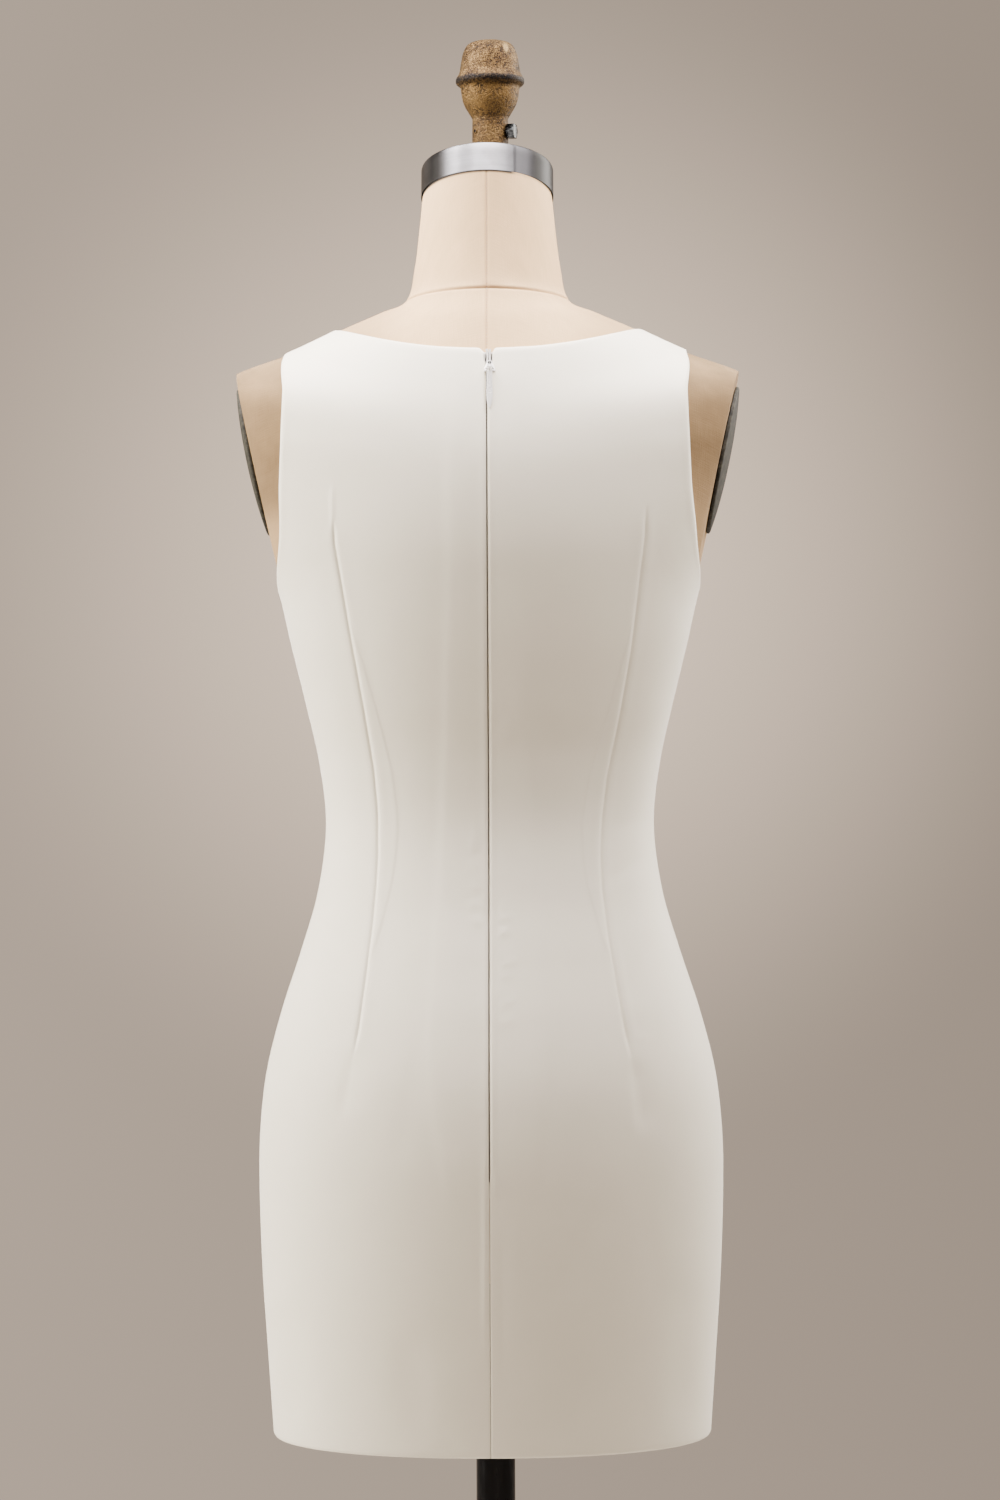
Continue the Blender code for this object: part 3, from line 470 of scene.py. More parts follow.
class Finish(Nodes):
    """A material on a Principled shader."""

    def __init__(self, name, colour, roughness, **sockets):
        self.material = bpy.data.materials.new(name)
        self.material.use_nodes = True
        super().__init__(self.material.node_tree)
        self.shader = self.tree.nodes["Principled BSDF"]
        sockets.update(colour=(*colour, 1.0), roughness=roughness)
        for socket, value in sockets.items():
            self.shader.inputs[SOCKETS[socket]].default_value = value

    def place(self, source="Object", scale=(1.0, 1.0, 1.0), turn=(0.0, 0.0, 0.0)):
        """A coordinate in metres, scaled into cells."""
        if source == "UV":
            start = self.node("ShaderNodeUVMap", uv_map="cloth").outputs["UV"]
        else:
            start = self.node("ShaderNodeTexCoord").outputs[source]
        mapping = self.node("ShaderNodeMapping", {"Vector": start, "Scale": scale,
                                                  "Rotation": turn})
        return mapping.outputs["Vector"]

    def noise(self, place, scale, detail=3.0, roughness=0.55):
        node = self.node("ShaderNodeTexNoise", {
            "Vector": place, "Scale": scale, "Detail": detail, "Roughness": roughness})
        return node.outputs["Fac"]

    def wave(self, place, scale, direction="X", distortion=0.0):
        node = self.node("ShaderNodeTexWave", {
            "Vector": place, "Scale": scale, "Distortion": distortion},
            bands_direction=direction, wave_profile="SIN")
        return node.outputs["Fac"]

    def weave(self, place, pitch, share, distortion):
        """Height of a plain weave, its warp and weft each taken by the share."""
        warp, weft = (self.wave(place, waves(pitch), axis, distortion) for axis in "XY")
        return self.added(warp, share, weft, share)

    def added(self, first, share, second, other_share):
        rest = self.math("MULTIPLY", second, other_share)
        return self.math("MULTIPLY_ADD", first, share, rest)

    def ramp(self, value, stops):
        """The value as a colour between stops of (place, colour)."""
        node = self.node("ShaderNodeValToRGB", {"Fac": value})
        elements = node.color_ramp.elements
        while len(elements) < len(stops):
            elements.new(0.5)
        for element, (position, colour) in zip(elements, stops):
            element.position = position
            element.color = (*colour, 1.0)
        return node.outputs["Color"]

    def mix(self, share, first, second, blend="MIX"):
        node = self.node("ShaderNodeMix", data_type="RGBA", blend_type=blend)
        for socket, value in ((0, share), (6, first), (7, second)):
            if isinstance(value, bpy.types.NodeSocket):
                self.tree.links.new(value, node.inputs[socket])
            else:
                node.inputs[socket].default_value = (*value, 1.0) if socket else value
        return node.outputs[2]

    def bump(self, height, distance, strength=1.0, under=None):
        inputs = {"Height": height, "Distance": distance, "Strength": strength}
        if under is not None:
            inputs["Normal"] = under
        return self.node("ShaderNodeBump", inputs).outputs["Normal"]

    def value(self, name):
        """A number stored on the mesh's vertices."""
        return self.node("ShaderNodeAttribute", attribute_name=name).outputs["Fac"]

    def use(self, **values):
        """Joins colour, roughness, normal or tangent to the shader."""
        for socket, value in values.items():
            self.tree.links.new(value, self.shader.inputs[SOCKETS[socket]])


def waves(pitch):
    """Scale of a wave texture whose bands are the pitch apart, in metres."""
    return math.pi / pitch / 10.0


CREPE_PITCH = 0.00045       # between two yarns
CREPE_COLOUR = (0.84, 0.768, 0.585)


def crepe_finish():
    """Ivory crepe: a close weave of twisted yarns, pebbled, with a low sheen."""
    finish = Finish("ivory_crepe", CREPE_COLOUR, 0.60, sheen=0.25,
                    sheen_roughness=0.45, specular=0.32)
    cloth = finish.place("UV")
    pebble = finish.noise(cloth, 1500.0, 2.0)
    threads = finish.weave(cloth, CREPE_PITCH, 0.5, 0.6)
    fine = finish.bump(finish.math("MULTIPLY_ADD", pebble, 1.1, threads), 0.00012, 0.35)
    cloud = finish.noise(cloth, 26.0, 4.0)
    tone = finish.ramp(cloud, ((0.30, scaled(CREPE_COLOUR, 0.985)),
                               (0.70, scaled(CREPE_COLOUR, 1.012))))
    grain = finish.ramp(pebble, ((0.25, (0.965, 0.965, 0.965)), (0.75, (1.0, 1.0, 1.0))))
    finish.use(colour=finish.mix(1.0, tone, grain, "MULTIPLY"),
               roughness=finish.spread(cloud, 0.56, 0.66),
               normal=finish.bump(finish.noise(cloth, 90.0), 0.0008, 0.10, fine))
    return finish.material


CANVAS_PITCH = 0.00062
CANVAS_COLOUR = (0.67, 0.440, 0.215)
CANVAS_TAN_AND_SHADE = (0.192, 0.122, 0.054)     # where the arms have turned yellow, and the painted shade on the arms and shoulder slopes


def canvas_finish():
    """Ecru linen canvas with slubs, yellowing and painted shade on the arms, stained at the
    neck's seam, and a painted shadow under the band.
    """
    finish = Finish("ecru_canvas", CANVAS_COLOUR, 0.85, sheen=0.03,
                    sheen_roughness=0.6, specular=0.1)
    cloth = finish.place("UV")
    threads = finish.weave(cloth, CANVAS_PITCH, 0.25, 2.5)
    slubs = finish.math("ADD", *(finish.noise(finish.place("UV", (*cells, 1.0)), 1.0, 2.0)
                                 for cells in ((60.0, 1400.0), (1400.0, 60.0))))
    height = finish.math("MULTIPLY_ADD", slubs, 1.1, threads)
    patch = finish.noise(cloth, 34.0, 4.0)
    broad = finish.noise(cloth, 13.0, 3.0)
    tone = finish.ramp(patch, (
        (0.28, scaled(CANVAS_COLOUR, 0.93)), (0.55, CANVAS_COLOUR),
        (0.78, scaled(CANVAS_COLOUR, 1.05))))
    tan = finish.ramp(broad, (
        (0.34, scaled(CANVAS_TAN_AND_SHADE, 0.82)), (0.50, CANVAS_TAN_AND_SHADE),
        (0.68, scaled(CANVAS_TAN_AND_SHADE, 1.22))))
    # The tan share is real yellowing together with painted shade.
    yellowed_and_shaded = finish.math("MULTIPLY", finish.value("tan"), finish.spread(patch, 0.82, 1.15))
    tone = finish.mix(yellowed_and_shaded, tone, tan)
    thread_tone = finish.ramp(finish.math("MULTIPLY", slubs, 0.5), (
        (0.32, (0.90, 0.885, 0.86)), (0.62, (1.0, 1.0, 1.0))))
    tone = finish.mix(1.0, tone, thread_tone, "MULTIPLY")
    tone = finish.mix(finish.value("stain"), tone, (0.30, 0.17, 0.08))
    # Painted shadow under the band's lower edge: the canvas there goes near black.
    tone = finish.mix(finish.value("painted_band_shadow"), tone, (0.018, 0.014, 0.010))
    finish.use(colour=tone, normal=finish.bump(height, 0.00022, 0.55))
    return finish.material


TAPE_RIB_PITCH = 0.0007


def tape_finish():
    """Ivory tape with fine ribs across it, toned grey-beige below the cloth as painted shade
    for the gap, with painted shade between its ribs.
    """
    finish = Finish("zip_tape_weave", (0.66, 0.62, 0.54), 0.8, specular=0.2)
    rib = finish.wave(finish.place(), waves(TAPE_RIB_PITCH), "Z", 0.2)
    tone = finish.ramp(rib, ((0.0, (0.55, 0.51, 0.44)), (1.0, (0.72, 0.68, 0.60))))
    finish.use(colour=tone, normal=finish.bump(rib, 0.00015, 0.5))
    return finish.material


def zip_metal_finish():
    """Pale satin lacquer over the cast metal of the slider and pull, with painted shade making
    its pits near black.
    """
    finish = Finish("zip_metal_satin", (0.74, 0.705, 0.63), 0.34, metallic=0.15)
    rub = finish.noise(finish.place(), 900.0, 4.0)
    tone = finish.ramp(rub, ((0.3, (0.68, 0.645, 0.57)), (0.7, (0.78, 0.745, 0.67))))
    # Painted shade in the slider's mouth and slot and in the pull's pressed marks.
    painted_pit_shade = finish.spread(finish.value("painted_pit_shade"), 0.0, 1.0, 0.15, 0.6)
    finish.use(colour=finish.mix(painted_pit_shade, tone, (0.012, 0.011, 0.010)),
               roughness=finish.spread(rub, 0.26, 0.44),
               normal=finish.bump(rub, 0.00005, 0.25))
    return finish.material


def steel_finish():
    """Steel brushed round the band, with a few darker rubbed marks, and a painted dark
    reflection mixed in by a share on the mesh.
    """
    finish = Finish("brushed_steel", (0.46, 0.445, 0.43), 0.30, metallic=1.0,
                    stretched=0.6, stretch_turn=0.25)
    tangent = finish.node("ShaderNodeTangent", direction_type="UV_MAP", uv_map="cloth")
    lines = finish.noise(finish.place("UV", (14.0, 2600.0, 1.0)), 1.0, 4.0, 0.7)
    coarse = finish.noise(finish.place("UV", (9.0, 320.0, 1.0)), 1.0, 3.0, 0.6)
    mottle = finish.noise(finish.place("UV"), 55.0, 4.0)
    tone = finish.ramp(finish.added(lines, 0.5, coarse, 0.5), (
        (0.30, (0.36, 0.345, 0.33)), (0.70, (0.52, 0.505, 0.49))))
    rubbed = finish.ramp(mottle, ((0.34, (0.80, 0.79, 0.78)), (0.58, (1.0, 1.0, 1.0))))
    tone = finish.mix(1.0, tone, rubbed, "MULTIPLY")
    # Near-black painted reflection, mixed in by its share round the band.
    finish.use(colour=finish.mix(finish.value("painted_dark_reflection"), tone, (0.005, 0.0045, 0.004)),
               roughness=finish.spread(lines, 0.34, 0.46),
               tangent=tangent.outputs["Tangent"])
    return finish.material


def bolt_finish():
    """Steel of the set bolt: turned, a little dull."""
    finish = Finish("bolt_steel", (0.22, 0.225, 0.21), 0.30, metallic=1.0)
    wear = finish.noise(finish.place(), 420.0, 5.0)
    tone = finish.ramp(wear, (
        (0.38, (0.003, 0.003, 0.003)), (0.60, (0.030, 0.031, 0.029))))
    finish.use(colour=tone, roughness=finish.spread(wear, 0.16, 0.40),
               normal=finish.bump(wear, 0.00006, 0.3))
    return finish.material


def bronze_finish():
    """Antique bronze casting: cracked and gritty, dark in its pits, gold where rubbed."""
    finish = Finish("antique_bronze", (0.10, 0.06, 0.03), 0.55, metallic=0.6,
                    specular=0.12)
    place = finish.place()
    grit = finish.noise(place, 900.0, 5.0, 0.65)
    worm = finish.noise(place, 340.0, 2.5, 0.55)
    broad = finish.noise(place, 90.0, 4.0)
    rubbed = finish.value("rubbed")
    whole = finish.math("SUBTRACT", 1.0, rubbed)
    off_line = finish.math("ABSOLUTE", finish.math("SUBTRACT", worm, 0.5))
    crack = finish.spread(off_line, 0.9, 0.0, 0.016, 0.062)
    sparse = finish.math("MULTIPLY", whole, finish.spread(broad, 1.0, 0.35, 0.36, 0.62))
    crack = finish.math("MULTIPLY", crack, sparse)
    height = finish.math("SUBTRACT", grit, finish.math("MULTIPLY", crack, 1.1))
    tone = finish.ramp(finish.added(broad, 0.3, grit, 0.7), (
        (0.38, (0.017, 0.008, 0.0025)), (0.50, (0.062, 0.034, 0.0100)),
        (0.62, (0.135, 0.083, 0.0280))))
    tone = finish.mix(rubbed, tone, (0.135, 0.088, 0.032))
    # Painted light: the bowl faces down and gets less light, so its colour is made lighter.
    bowl = finish.math("MULTIPLY", finish.value("bowl"), 0.45)
    tone = finish.mix(bowl, tone, (0.135, 0.076, 0.020))
    tone = finish.mix(crack, tone, (0.004, 0.0025, 0.0015))
    brim = finish.math("MULTIPLY", finish.value("brim"),
                       finish.spread(grit, 1.0, 0.72, 0.45, 0.62))
    finish.use(colour=finish.mix(brim, tone, (0.006, 0.005, 0.0045)),
               roughness=finish.spread(grit, 0.42, 0.70),
               normal=finish.bump(height, 0.00045, finish.spread(whole, 0.15, 0.85)))
    return finish.material


def plate_finish():
    """Dark grey-green coat, mottled and chalky with age, rusted in a few spots."""
    finish = Finish("plate_grey_satin", (0.036, 0.036, 0.028), 0.6, specular=0.08)
    place = finish.place()
    wear = finish.noise(place, 240.0, 6.0, 0.7)
    tone = finish.ramp(wear, (
        (0.36, (0.016, 0.0145, 0.0105)), (0.52, (0.035, 0.032, 0.023)),
        (0.66, (0.072, 0.066, 0.048))))
    spots = finish.spread(finish.noise(place, 55.0, 2.0), 0.0, 0.6, 0.69, 0.77)
    finish.use(colour=finish.mix(spots, tone, (0.040, 0.019, 0.009)),
               roughness=finish.spread(wear, 0.50, 0.72),
               normal=finish.bump(finish.noise(place, 700.0), 0.0002, 0.45))
    return finish.material


def pole_finish():
    """Gloss black lacquer with fine handling marks."""
    finish = Finish("gloss_black", (0.004, 0.004, 0.004), 0.14, specular=0.2)
    marks = finish.noise(finish.place(scale=(1.0, 1.0, 0.3)), 260.0, 5.0)
    tone = finish.ramp(marks, (
        (0.35, (0.003, 0.003, 0.003)), (0.70, (0.006, 0.006, 0.006))))
    finish.use(colour=tone, roughness=finish.spread(marks, 0.08, 0.22),
               normal=finish.bump(marks, 0.00005, 0.15))
    return finish.material


def thread_finish(name, colour, sheen=0.2):
    """Twisted thread, darker between its turns with painted shade."""
    finish = Finish(name, colour, 0.7, sheen=sheen, specular=0.1 + sheen)
    twist = finish.wave(finish.place(turn=(0.6, 0.6, 0.6)), 260.0, "DIAGONAL")
    finish.use(colour=finish.ramp(twist, ((0.1, scaled(colour, 0.82)), (0.8, colour))),
               normal=finish.bump(twist, 0.00008, 0.5))
    return finish.material


# ------------------------------------------------------------------ the dress's creases
# Back darts: height and distance from the centre line on each side.
DARTS = {
    1.0: ((874, 98.7), (896, 94.6), (935, 89.4), (970, 84.9), (997, 82.5), (1020, 81.3),
          (1051, 81.3), (1083, 84.0), (1127, 91.0), (1190, 102.0), (1247, 111.4),
          (1268, 112.2)),
    -1.0: ((873, 103.2), (895, 98.3), (926, 93.0), (960, 87.0), (997, 82.6), (1020, 81.8),
           (1045, 83.0), (1076, 86.8), (1121, 96.2), (1166, 104.2), (1207, 109.6),
           (1250, 114.8), (1276, 116.0)),
}
# Front waist darts, the same on both sides, and bust darts from the side seams.
FRONT_DART = ((922, 77.0), (985, 70.0), (1036, 67.0), (1080, 70.5), (1128, 78.0))
BUST_DART = ((151.0, 1160), (128.0, 1166), (101.0, 1175))
DART_SINK, DART_SINK_WIDTH = 0.95, 1.15     # the stitched line
DART_TAPER = 18.0
# The cloth swells on both sides of the stitches: rise, distance and width.
DART_PUFF, DART_PUFF_OUT, DART_PUFF_WIDTH = 0.22, 4.0, 3.0
# Width of the dart's folded cloth, pressed towards the centre and seen as a low step.
INTAKE = ((930, 0.0), (960, 5.0), (1000, 11.5), (1040, 15.0), (1080, 13.5), (1120, 10.0),
          (1160, 5.5), (1205, 0.0))
INTAKE_RISE = 0.34
INTAKE_EDGE = 0.7
INTAKE_MIN = 6.0            # the step's columns never come nearer the dart than this
# Half width of the zip's seam allowance, and its rise.
ZIP_BAND = ((740, 27.0), (830, 41.0), (888, 45.5), (916, 42.5), (1040, 35.0), (1205, 30.0),
            (1400, 29.0))
ZIP_BAND_RISE = 0.42
ZIP_BAND_EDGE = 2.6
ZIP_BAND_LOW, ZIP_BAND_TAPER = 745.0, 60.0
# Lip of the cloth along the zip: rise, distance and width, and how its edge falls away.
LIP_RISE, LIP_OUT, LIP_WIDTH = 0.26, 2.6, 2.0
LIP_ROLL = (1.25, 0.8)
SEAM_ROLL = (0.8, 0.45)     # and that of the seam below the zip
ZIP_TAPER = 12.0
# Each crease is a path of (x, z), its width and its rise; a trough's rise is negative.
BACK_CREASES = (
    # under the left dart, and the broad hollow towards the centre
    (((98.7, 880), (101.5, 866), (105, 848), (108, 826)), 3.4, -0.45),
    (((94, 884), (97, 866), (100.5, 848), (104, 830)), 8.0, -0.45),
    (((51, 892), (57, 850), (62, 815), (67, 785)), 8.0, -0.22),
    # the right dart's last stitches, and the trough under it, which forks
    (((-91.5, 938), (-97.5, 900), (-103.2, 868)), 1.5, -0.40),
    (((-103, 880), (-106, 860), (-109, 838), (-112, 812)), 4.0, -0.62),
    (((-107, 874), (-111, 856), (-114, 836), (-117, 818)), 8.5, -0.55),
    (((-110, 825), (-107, 800), (-104, 775)), 7.0, -0.25),
    (((-104, 790), (-92, 766), (-79, 752), (-60, 731), (-34, 676)), 7.0, -0.24),
    (((-104, 795), (-111, 760), (-119, 721), (-126, 674)), 6.5, -0.24),
    # the right dart's end: a ridge outside it, and the knot of its thread
    (((-91, 962), (-97, 928), (-102, 898), (-107, 880)), 2.2, 0.32),
    (((-109, 884), (-115, 888)), 3.6, 0.40),
    # beside the seam below the zip
    (((3.6, 822), (3.4, 760), (3.8, 655)), 1.9, 0.45),
    (((-9.6, 765), (-9.4, 700), (-9.0, 625)), 4.0, -0.24),
    (((-1.2, 794), (-4.4, 790), (-5.6, 783), (-3.6, 776)), 1.5, 0.45),
    # soft folds drawn from the waist, one side more than the other
    (((118, 1028), (96, 1016), (72, 1010)), 6.0, -0.30),
    (((-120, 1022), (-98, 1006), (-80, 1000)), 6.5, -0.40),
    (((-118, 1050), (-102, 1040), (-88, 1036)), 5.0, -0.28),
    (((128, 975), (112, 955), (100, 925)), 9.0, -0.40),
    (((-130, 968), (-116, 944), (-106, 905)), 9.0, -0.45),
    (((150, 700), (146, 650), (143, 590)), 12.0, -0.8),
    (((-146, 720), (-140, 660), (-138, 590)), 13.0, -0.9),
    (((60, 690), (55, 640), (52, 590)), 13.0, -0.55),
    (((-62, 668), (-58, 630), (-56, 590)), 12.0, -0.5),
    (((128, 1245), (134, 1215), (146, 1190)), 7.0, -0.14),
    (((-130, 1240), (-137, 1212), (-148, 1188)), 7.0, -0.14),
    # the top of the left dart
    (((112.6, 1250), (112.8, 1292)), 2.0, 0.42),
)
FRONT_CREASES = (
    (((70, 930), (74, 880), (84, 820)), 8.0, -0.7),
    (((-72, 925), (-78, 870), (-86, 815)), 8.0, -0.8),
    (((116, 1030), (92, 1018), (70, 1014)), 6.0, -0.35),
    (((-118, 1024), (-94, 1010), (-74, 1008)), 6.5, -0.40),
    (((132, 965), (112, 942), (102, 905)), 9.0, -0.45),
    (((-128, 970), (-112, 946), (-100, 912)), 9.0, -0.40),
    (((18, 760), (10, 690), (6, 600)), 13.0, -0.7),
    (((-40, 740), (-52, 670), (-58, 590)), 12.0, -0.6),
    (((96, 735), (88, 660), (84, 590)), 12.0, -0.7),
    (((-130, 720), (-124, 650), (-122, 590)), 12.0, -0.8),
    (((60, 1300), (40, 1262), (12, 1244)), 10.0, -0.5),
    (((-66, 1296), (-44, 1262), (-18, 1248)), 10.0, -0.45),
    (((122, 1250), (112, 1222), (104, 1200)), 8.0, -0.5),
    (((-124, 1246), (-114, 1220), (-106, 1198)), 8.0, -0.5),
)
# Ripples across the zip's allowance: inner and outer x, low and high z, number, rise and
# how far the outer end is above the inner one.
RIPPLES = (
    (3.4, 18.0, 962.0, 1034.0, 7, 0.44, 3.0),
    (-3.4, -26.0, 1094.0, 1110.0, 2, 0.30, 9.0),
    (-5.0, -22.0, 884.0, 980.0, 9, 0.44, 5.0),
    (2.5, 13.0, 1050.0, 1340.0, 17, 0.11, -3.0),
    (-2.5, -13.0, 1120.0, 1340.0, 14, 0.11, 3.0),
    (2.5, 14.0, 800.0, 950.0, 9, 0.14, 3.0),
)
RIPPLE_WIDTH = 2.3
RIPPLE_RUN_OUT = 0.45


def dart_place(x, z, table):
    """Distance outside a dart's line, and 1 along its middle, run out to 0 at its ends."""
    heights = [height for height, _ in table]
    from_ends = np.minimum(z - min(heights), max(heights) - z)
    return x - table_value(table, z), smooth_step(from_ends / DART_TAPER)


def stitched_line(gap, along):
    """The dart's sunk line, and the cloth that swells on both sides of it."""
    relief = -DART_SINK * along * hump(gap, DART_SINK_WIDTH)
    for puff in (-DART_PUFF_OUT, DART_PUFF_OUT):
        relief = relief + DART_PUFF * along * hump(gap - puff, DART_PUFF_WIDTH)
    return relief


def ripple_relief(x, z):
    """Small folds, uneven in their spacing, length and rise."""
    relief = 0.0
    chance = np.random.default_rng(11)
    for inner, outer, low, high, count, rise, slant in RIPPLES:
        gaps = chance.uniform(0.6, 1.4, count)
        for height in low + (high - low) * np.cumsum(gaps) / gaps.sum():
            reach = inner + (outer - inner) * chance.uniform(0.6, 1.0)
            path = ((inner, height), (reach, height + slant))
            relief = relief + crease(x, z, path, RIPPLE_WIDTH,
                                     rise * chance.uniform(0.6, 1.2), RIPPLE_RUN_OUT)
    return relief


def edge_roll(distance, width=1.05, sink=0.85):
    """Cloth turned under at an edge: it falls away over the last millimetre or two."""
    return -sink * hump(distance, width)


def back_relief(x, z, side):
    """How far one back panel stands out of the plain face, in millimetres."""
    gap, along = dart_place(x * side, z, DARTS[side])
    width = table_value(INTAKE, z)
    folded = soft_edge(-(gap + width), INTAKE_EDGE) * soft_edge(gap, INTAKE_EDGE)
    out = np.abs(x)
    band = (soft_edge(out - table_value(ZIP_BAND, z), ZIP_BAND_EDGE)
            * smooth_step((z - ZIP_BAND_LOW) / ZIP_BAND_TAPER))
    lip = LIP_RISE * hump(out - LIP_OUT, LIP_WIDTH) + edge_roll(out, *LIP_ROLL)
    beside_zip = smooth_step((z - ZIP_END_Z) / ZIP_TAPER)
    return (stitched_line(gap, along) + INTAKE_RISE * folded * smooth_step(width / 4.0)
            + ZIP_BAND_RISE * band + lip * beside_zip
            + edge_roll(out, *SEAM_ROLL) * (1.0 - beside_zip)
            + creases(x, z, BACK_CREASES) + ripple_relief(x, z))


def front_relief(x, z):
    """The same for the front, with its waist darts and bust darts."""
    out = np.abs(x)
    return (stitched_line(*dart_place(out, z, FRONT_DART))
            + crease(out, z, BUST_DART, 1.6, -DART_SINK, 0.2) + creases(x, z, FRONT_CREASES))


# --------------------------------------------------------------------- the dress
ROWS_PER_RING = 15
INNER_COLUMNS = 26
INTAKE_COLUMNS = 7
OUTER_COLUMNS = 32
FRONT_COLUMNS = 150
ZIP_COLUMNS = (0.2, 0.45, 0.75, 1.1, 1.6, 2.3, 3.4, 4.8, 6.4, 8.2, 10.0)
DART_COLUMNS = (-2.6, -1.5, -0.9, -0.4, 0.0, 0.4, 0.9, 1.5, 2.6)
STEP_COLUMNS = (-1.2, -0.4, 0.4, 1.2)
EDGE_COLUMNS = (3.2, 1.6, 0.7, 0.25)
EDGE_LEVELS = (0.004, 0.012, 0.026, 0.045)
NECK_CORNER_DROP = 0.12     # in levels: the neckline's corners at the zip are rounded off
NECK_CORNER_WIDTH = {1.0: 2.1, -1.0: 1.3}
CLOTH_ROUND = 0.00045
# The cloth swells a little inside its neckline and armholes: rise, distance and width.
RIM_SWELL, RIM_SWELL_IN, RIM_SWELL_WIDTH = 0.16, 4.5, 2.6


def panel_levels():
    """Rows of a panel from its hem to its neckline, closer together at both ends."""
    top = level_of("neckline")
    inside = np.linspace(0.0, top, top * ROWS_PER_RING + 1)
    ends = [*EDGE_LEVELS, *(top - np.array(EDGE_LEVELS))]
    return np.unique(np.round(np.concatenate([inside, ends]), 6))


def even(start, end, count):
    """Columns between two arrays of angles, without the two themselves."""
    shares = np.arange(1, count + 1) / (count + 1)
    return start[:, None] + (end - start)[:, None] * shares[None, :]


def back_columns(levels, side):
    """Angles across one back panel, one row for each level, from the centre outwards."""
    z = rings(levels)["z_back"]
    start, edge = centre_angle(levels, side), side_angle(levels, True, side)
    width = rings(levels)["half_width"]
    centre_x = rings(levels)["back"] * np.tan(start)
    zip_x = centre_x[:, None] + np.array(ZIP_COLUMNS)[None, :]
    dart_x = np.minimum(table_value(DARTS[side], z), width * 0.93)
    intake_x = dart_x - np.maximum(table_value(INTAKE, z), INTAKE_MIN)
    darts = dart_x[:, None] + np.array(DART_COLUMNS)[None, :]
    steps = intake_x[:, None] + np.array(STEP_COLUMNS)[None, :]

    def angles(x):
        return angle_at_width(x, levels[:, None])

    zips, steps, darts = angles(zip_x), angles(steps), angles(darts)
    edge_steps = edge[:, None] - np.array(EDGE_COLUMNS)[None, :] / width[:, None]
    return np.hstack([
        start[:, None], zips, even(zips[:, -1], steps[:, 0], INNER_COLUMNS), steps,
        even(steps[:, -1], darts[:, 0], INTAKE_COLUMNS), darts,
        even(darts[:, -1], edge_steps[:, 0], OUTER_COLUMNS), edge_steps, edge[:, None]])


def front_columns(levels):
    """Angles across the front, from its left edge to its right one."""
    edge = side_angle(levels, False)
    width = rings(levels)["half_width"]
    steps = np.array(EDGE_COLUMNS[::-1])[None, :] / width[:, None]
    right = (math.tau - edge)[:, None]
    left = edge[:, None]
    inside = even((left + steps[:, -1:])[:, 0], (right - steps[:, -1:])[:, 0], FRONT_COLUMNS)
    return np.hstack([left, left + steps, inside, right - steps[:, ::-1], right])


def make_panel(name, angles, level_grid, relief, outer_ends, material):
    """A panel: thin cloth on the plain face, moved out by its relief.

    Its hem, its top and its outer ends are turned under. The ends are numbers of columns.
    """
    plain = face_points(angles, level_grid)
    x, z = (plain[..., 0] - FORM_X) / MM, plain[..., 2] / MM
    across, up = run_lengths(plain, 1) / MM, run_lengths(plain, 0) / MM
    rims = [np.abs(across - across[:, [end]]) for end in outer_ends]
    rims.append(up[-1:] - up)
    out = relief(x, z) + edge_roll(up) + sum(edge_roll(rim) for rim in rims)
    above_seam = smooth_step((level_grid - level_of("underarm")) / 0.5)
    nearest = np.minimum.reduce(rims)
    out = out + RIM_SWELL * hump(nearest - RIM_SWELL_IN, RIM_SWELL_WIDTH) * above_seam
    bm = grid_mesh(surface(angles, level_grid, out * MM))
    piece = add_piece(name + "_cloth", bm, material, 70.0)
    add_wall(piece, CLOTH)
    add_bevel(piece, CLOTH_ROUND)
    return settle(piece, "root", "crepe", "dress_" + name)


def make_dress(material):
    """The two back panels, which meet at the zip, and the front."""
    levels = panel_levels()
    column = levels[:, None]
    near_top = smooth_step(column - (level_of("neckline") - 1.0))
    for side, name, outer in ((1.0, "back_left", -1), (-1.0, "back_right", 0)):
        angles = back_columns(levels, side)
        x = (face_points(angles, column)[..., 0] - FORM_X) / MM
        corner = hump(x - x[-1:, :1], NECK_CORNER_WIDTH[side])
        level_grid = column - NECK_CORNER_DROP * corner * near_top
        if side < 0:
            angles, level_grid = -angles[:, ::-1], level_grid[:, ::-1]
        relief = partial(back_relief, side=side)
        make_panel(name, angles, level_grid, relief, (outer,), material)
    front = make_panel("front", front_columns(levels), column, front_relief, (0, -1), material)


# ------------------------------------------------------------------------------- zip
TAPE_HALF_WIDTH = 0.0095
TAPE_THICKNESS = 0.0007
TAPE_GAP = 0.0003
TAPE_TAIL = 12.0
TAPE_TOP_Z = 1386.0
TAPE_ROWS, TAPE_COLUMNS = 180, 13
COIL_PITCH = 0.0010
COIL_SIDE = 0.2                         # the teeth lie in turn on each side
COIL_TOOTH = (0.00075, 0.00035, 0.00032)
COIL_DEPTH = 1.15                       # behind the cloth's face
FIT = 0.0003
SLIDER_Z = 1374.5
SLIDER_SIDE = -0.0022
SLIDER_LENGTH = 9.5
SLIDER_THICKNESS = 1.2
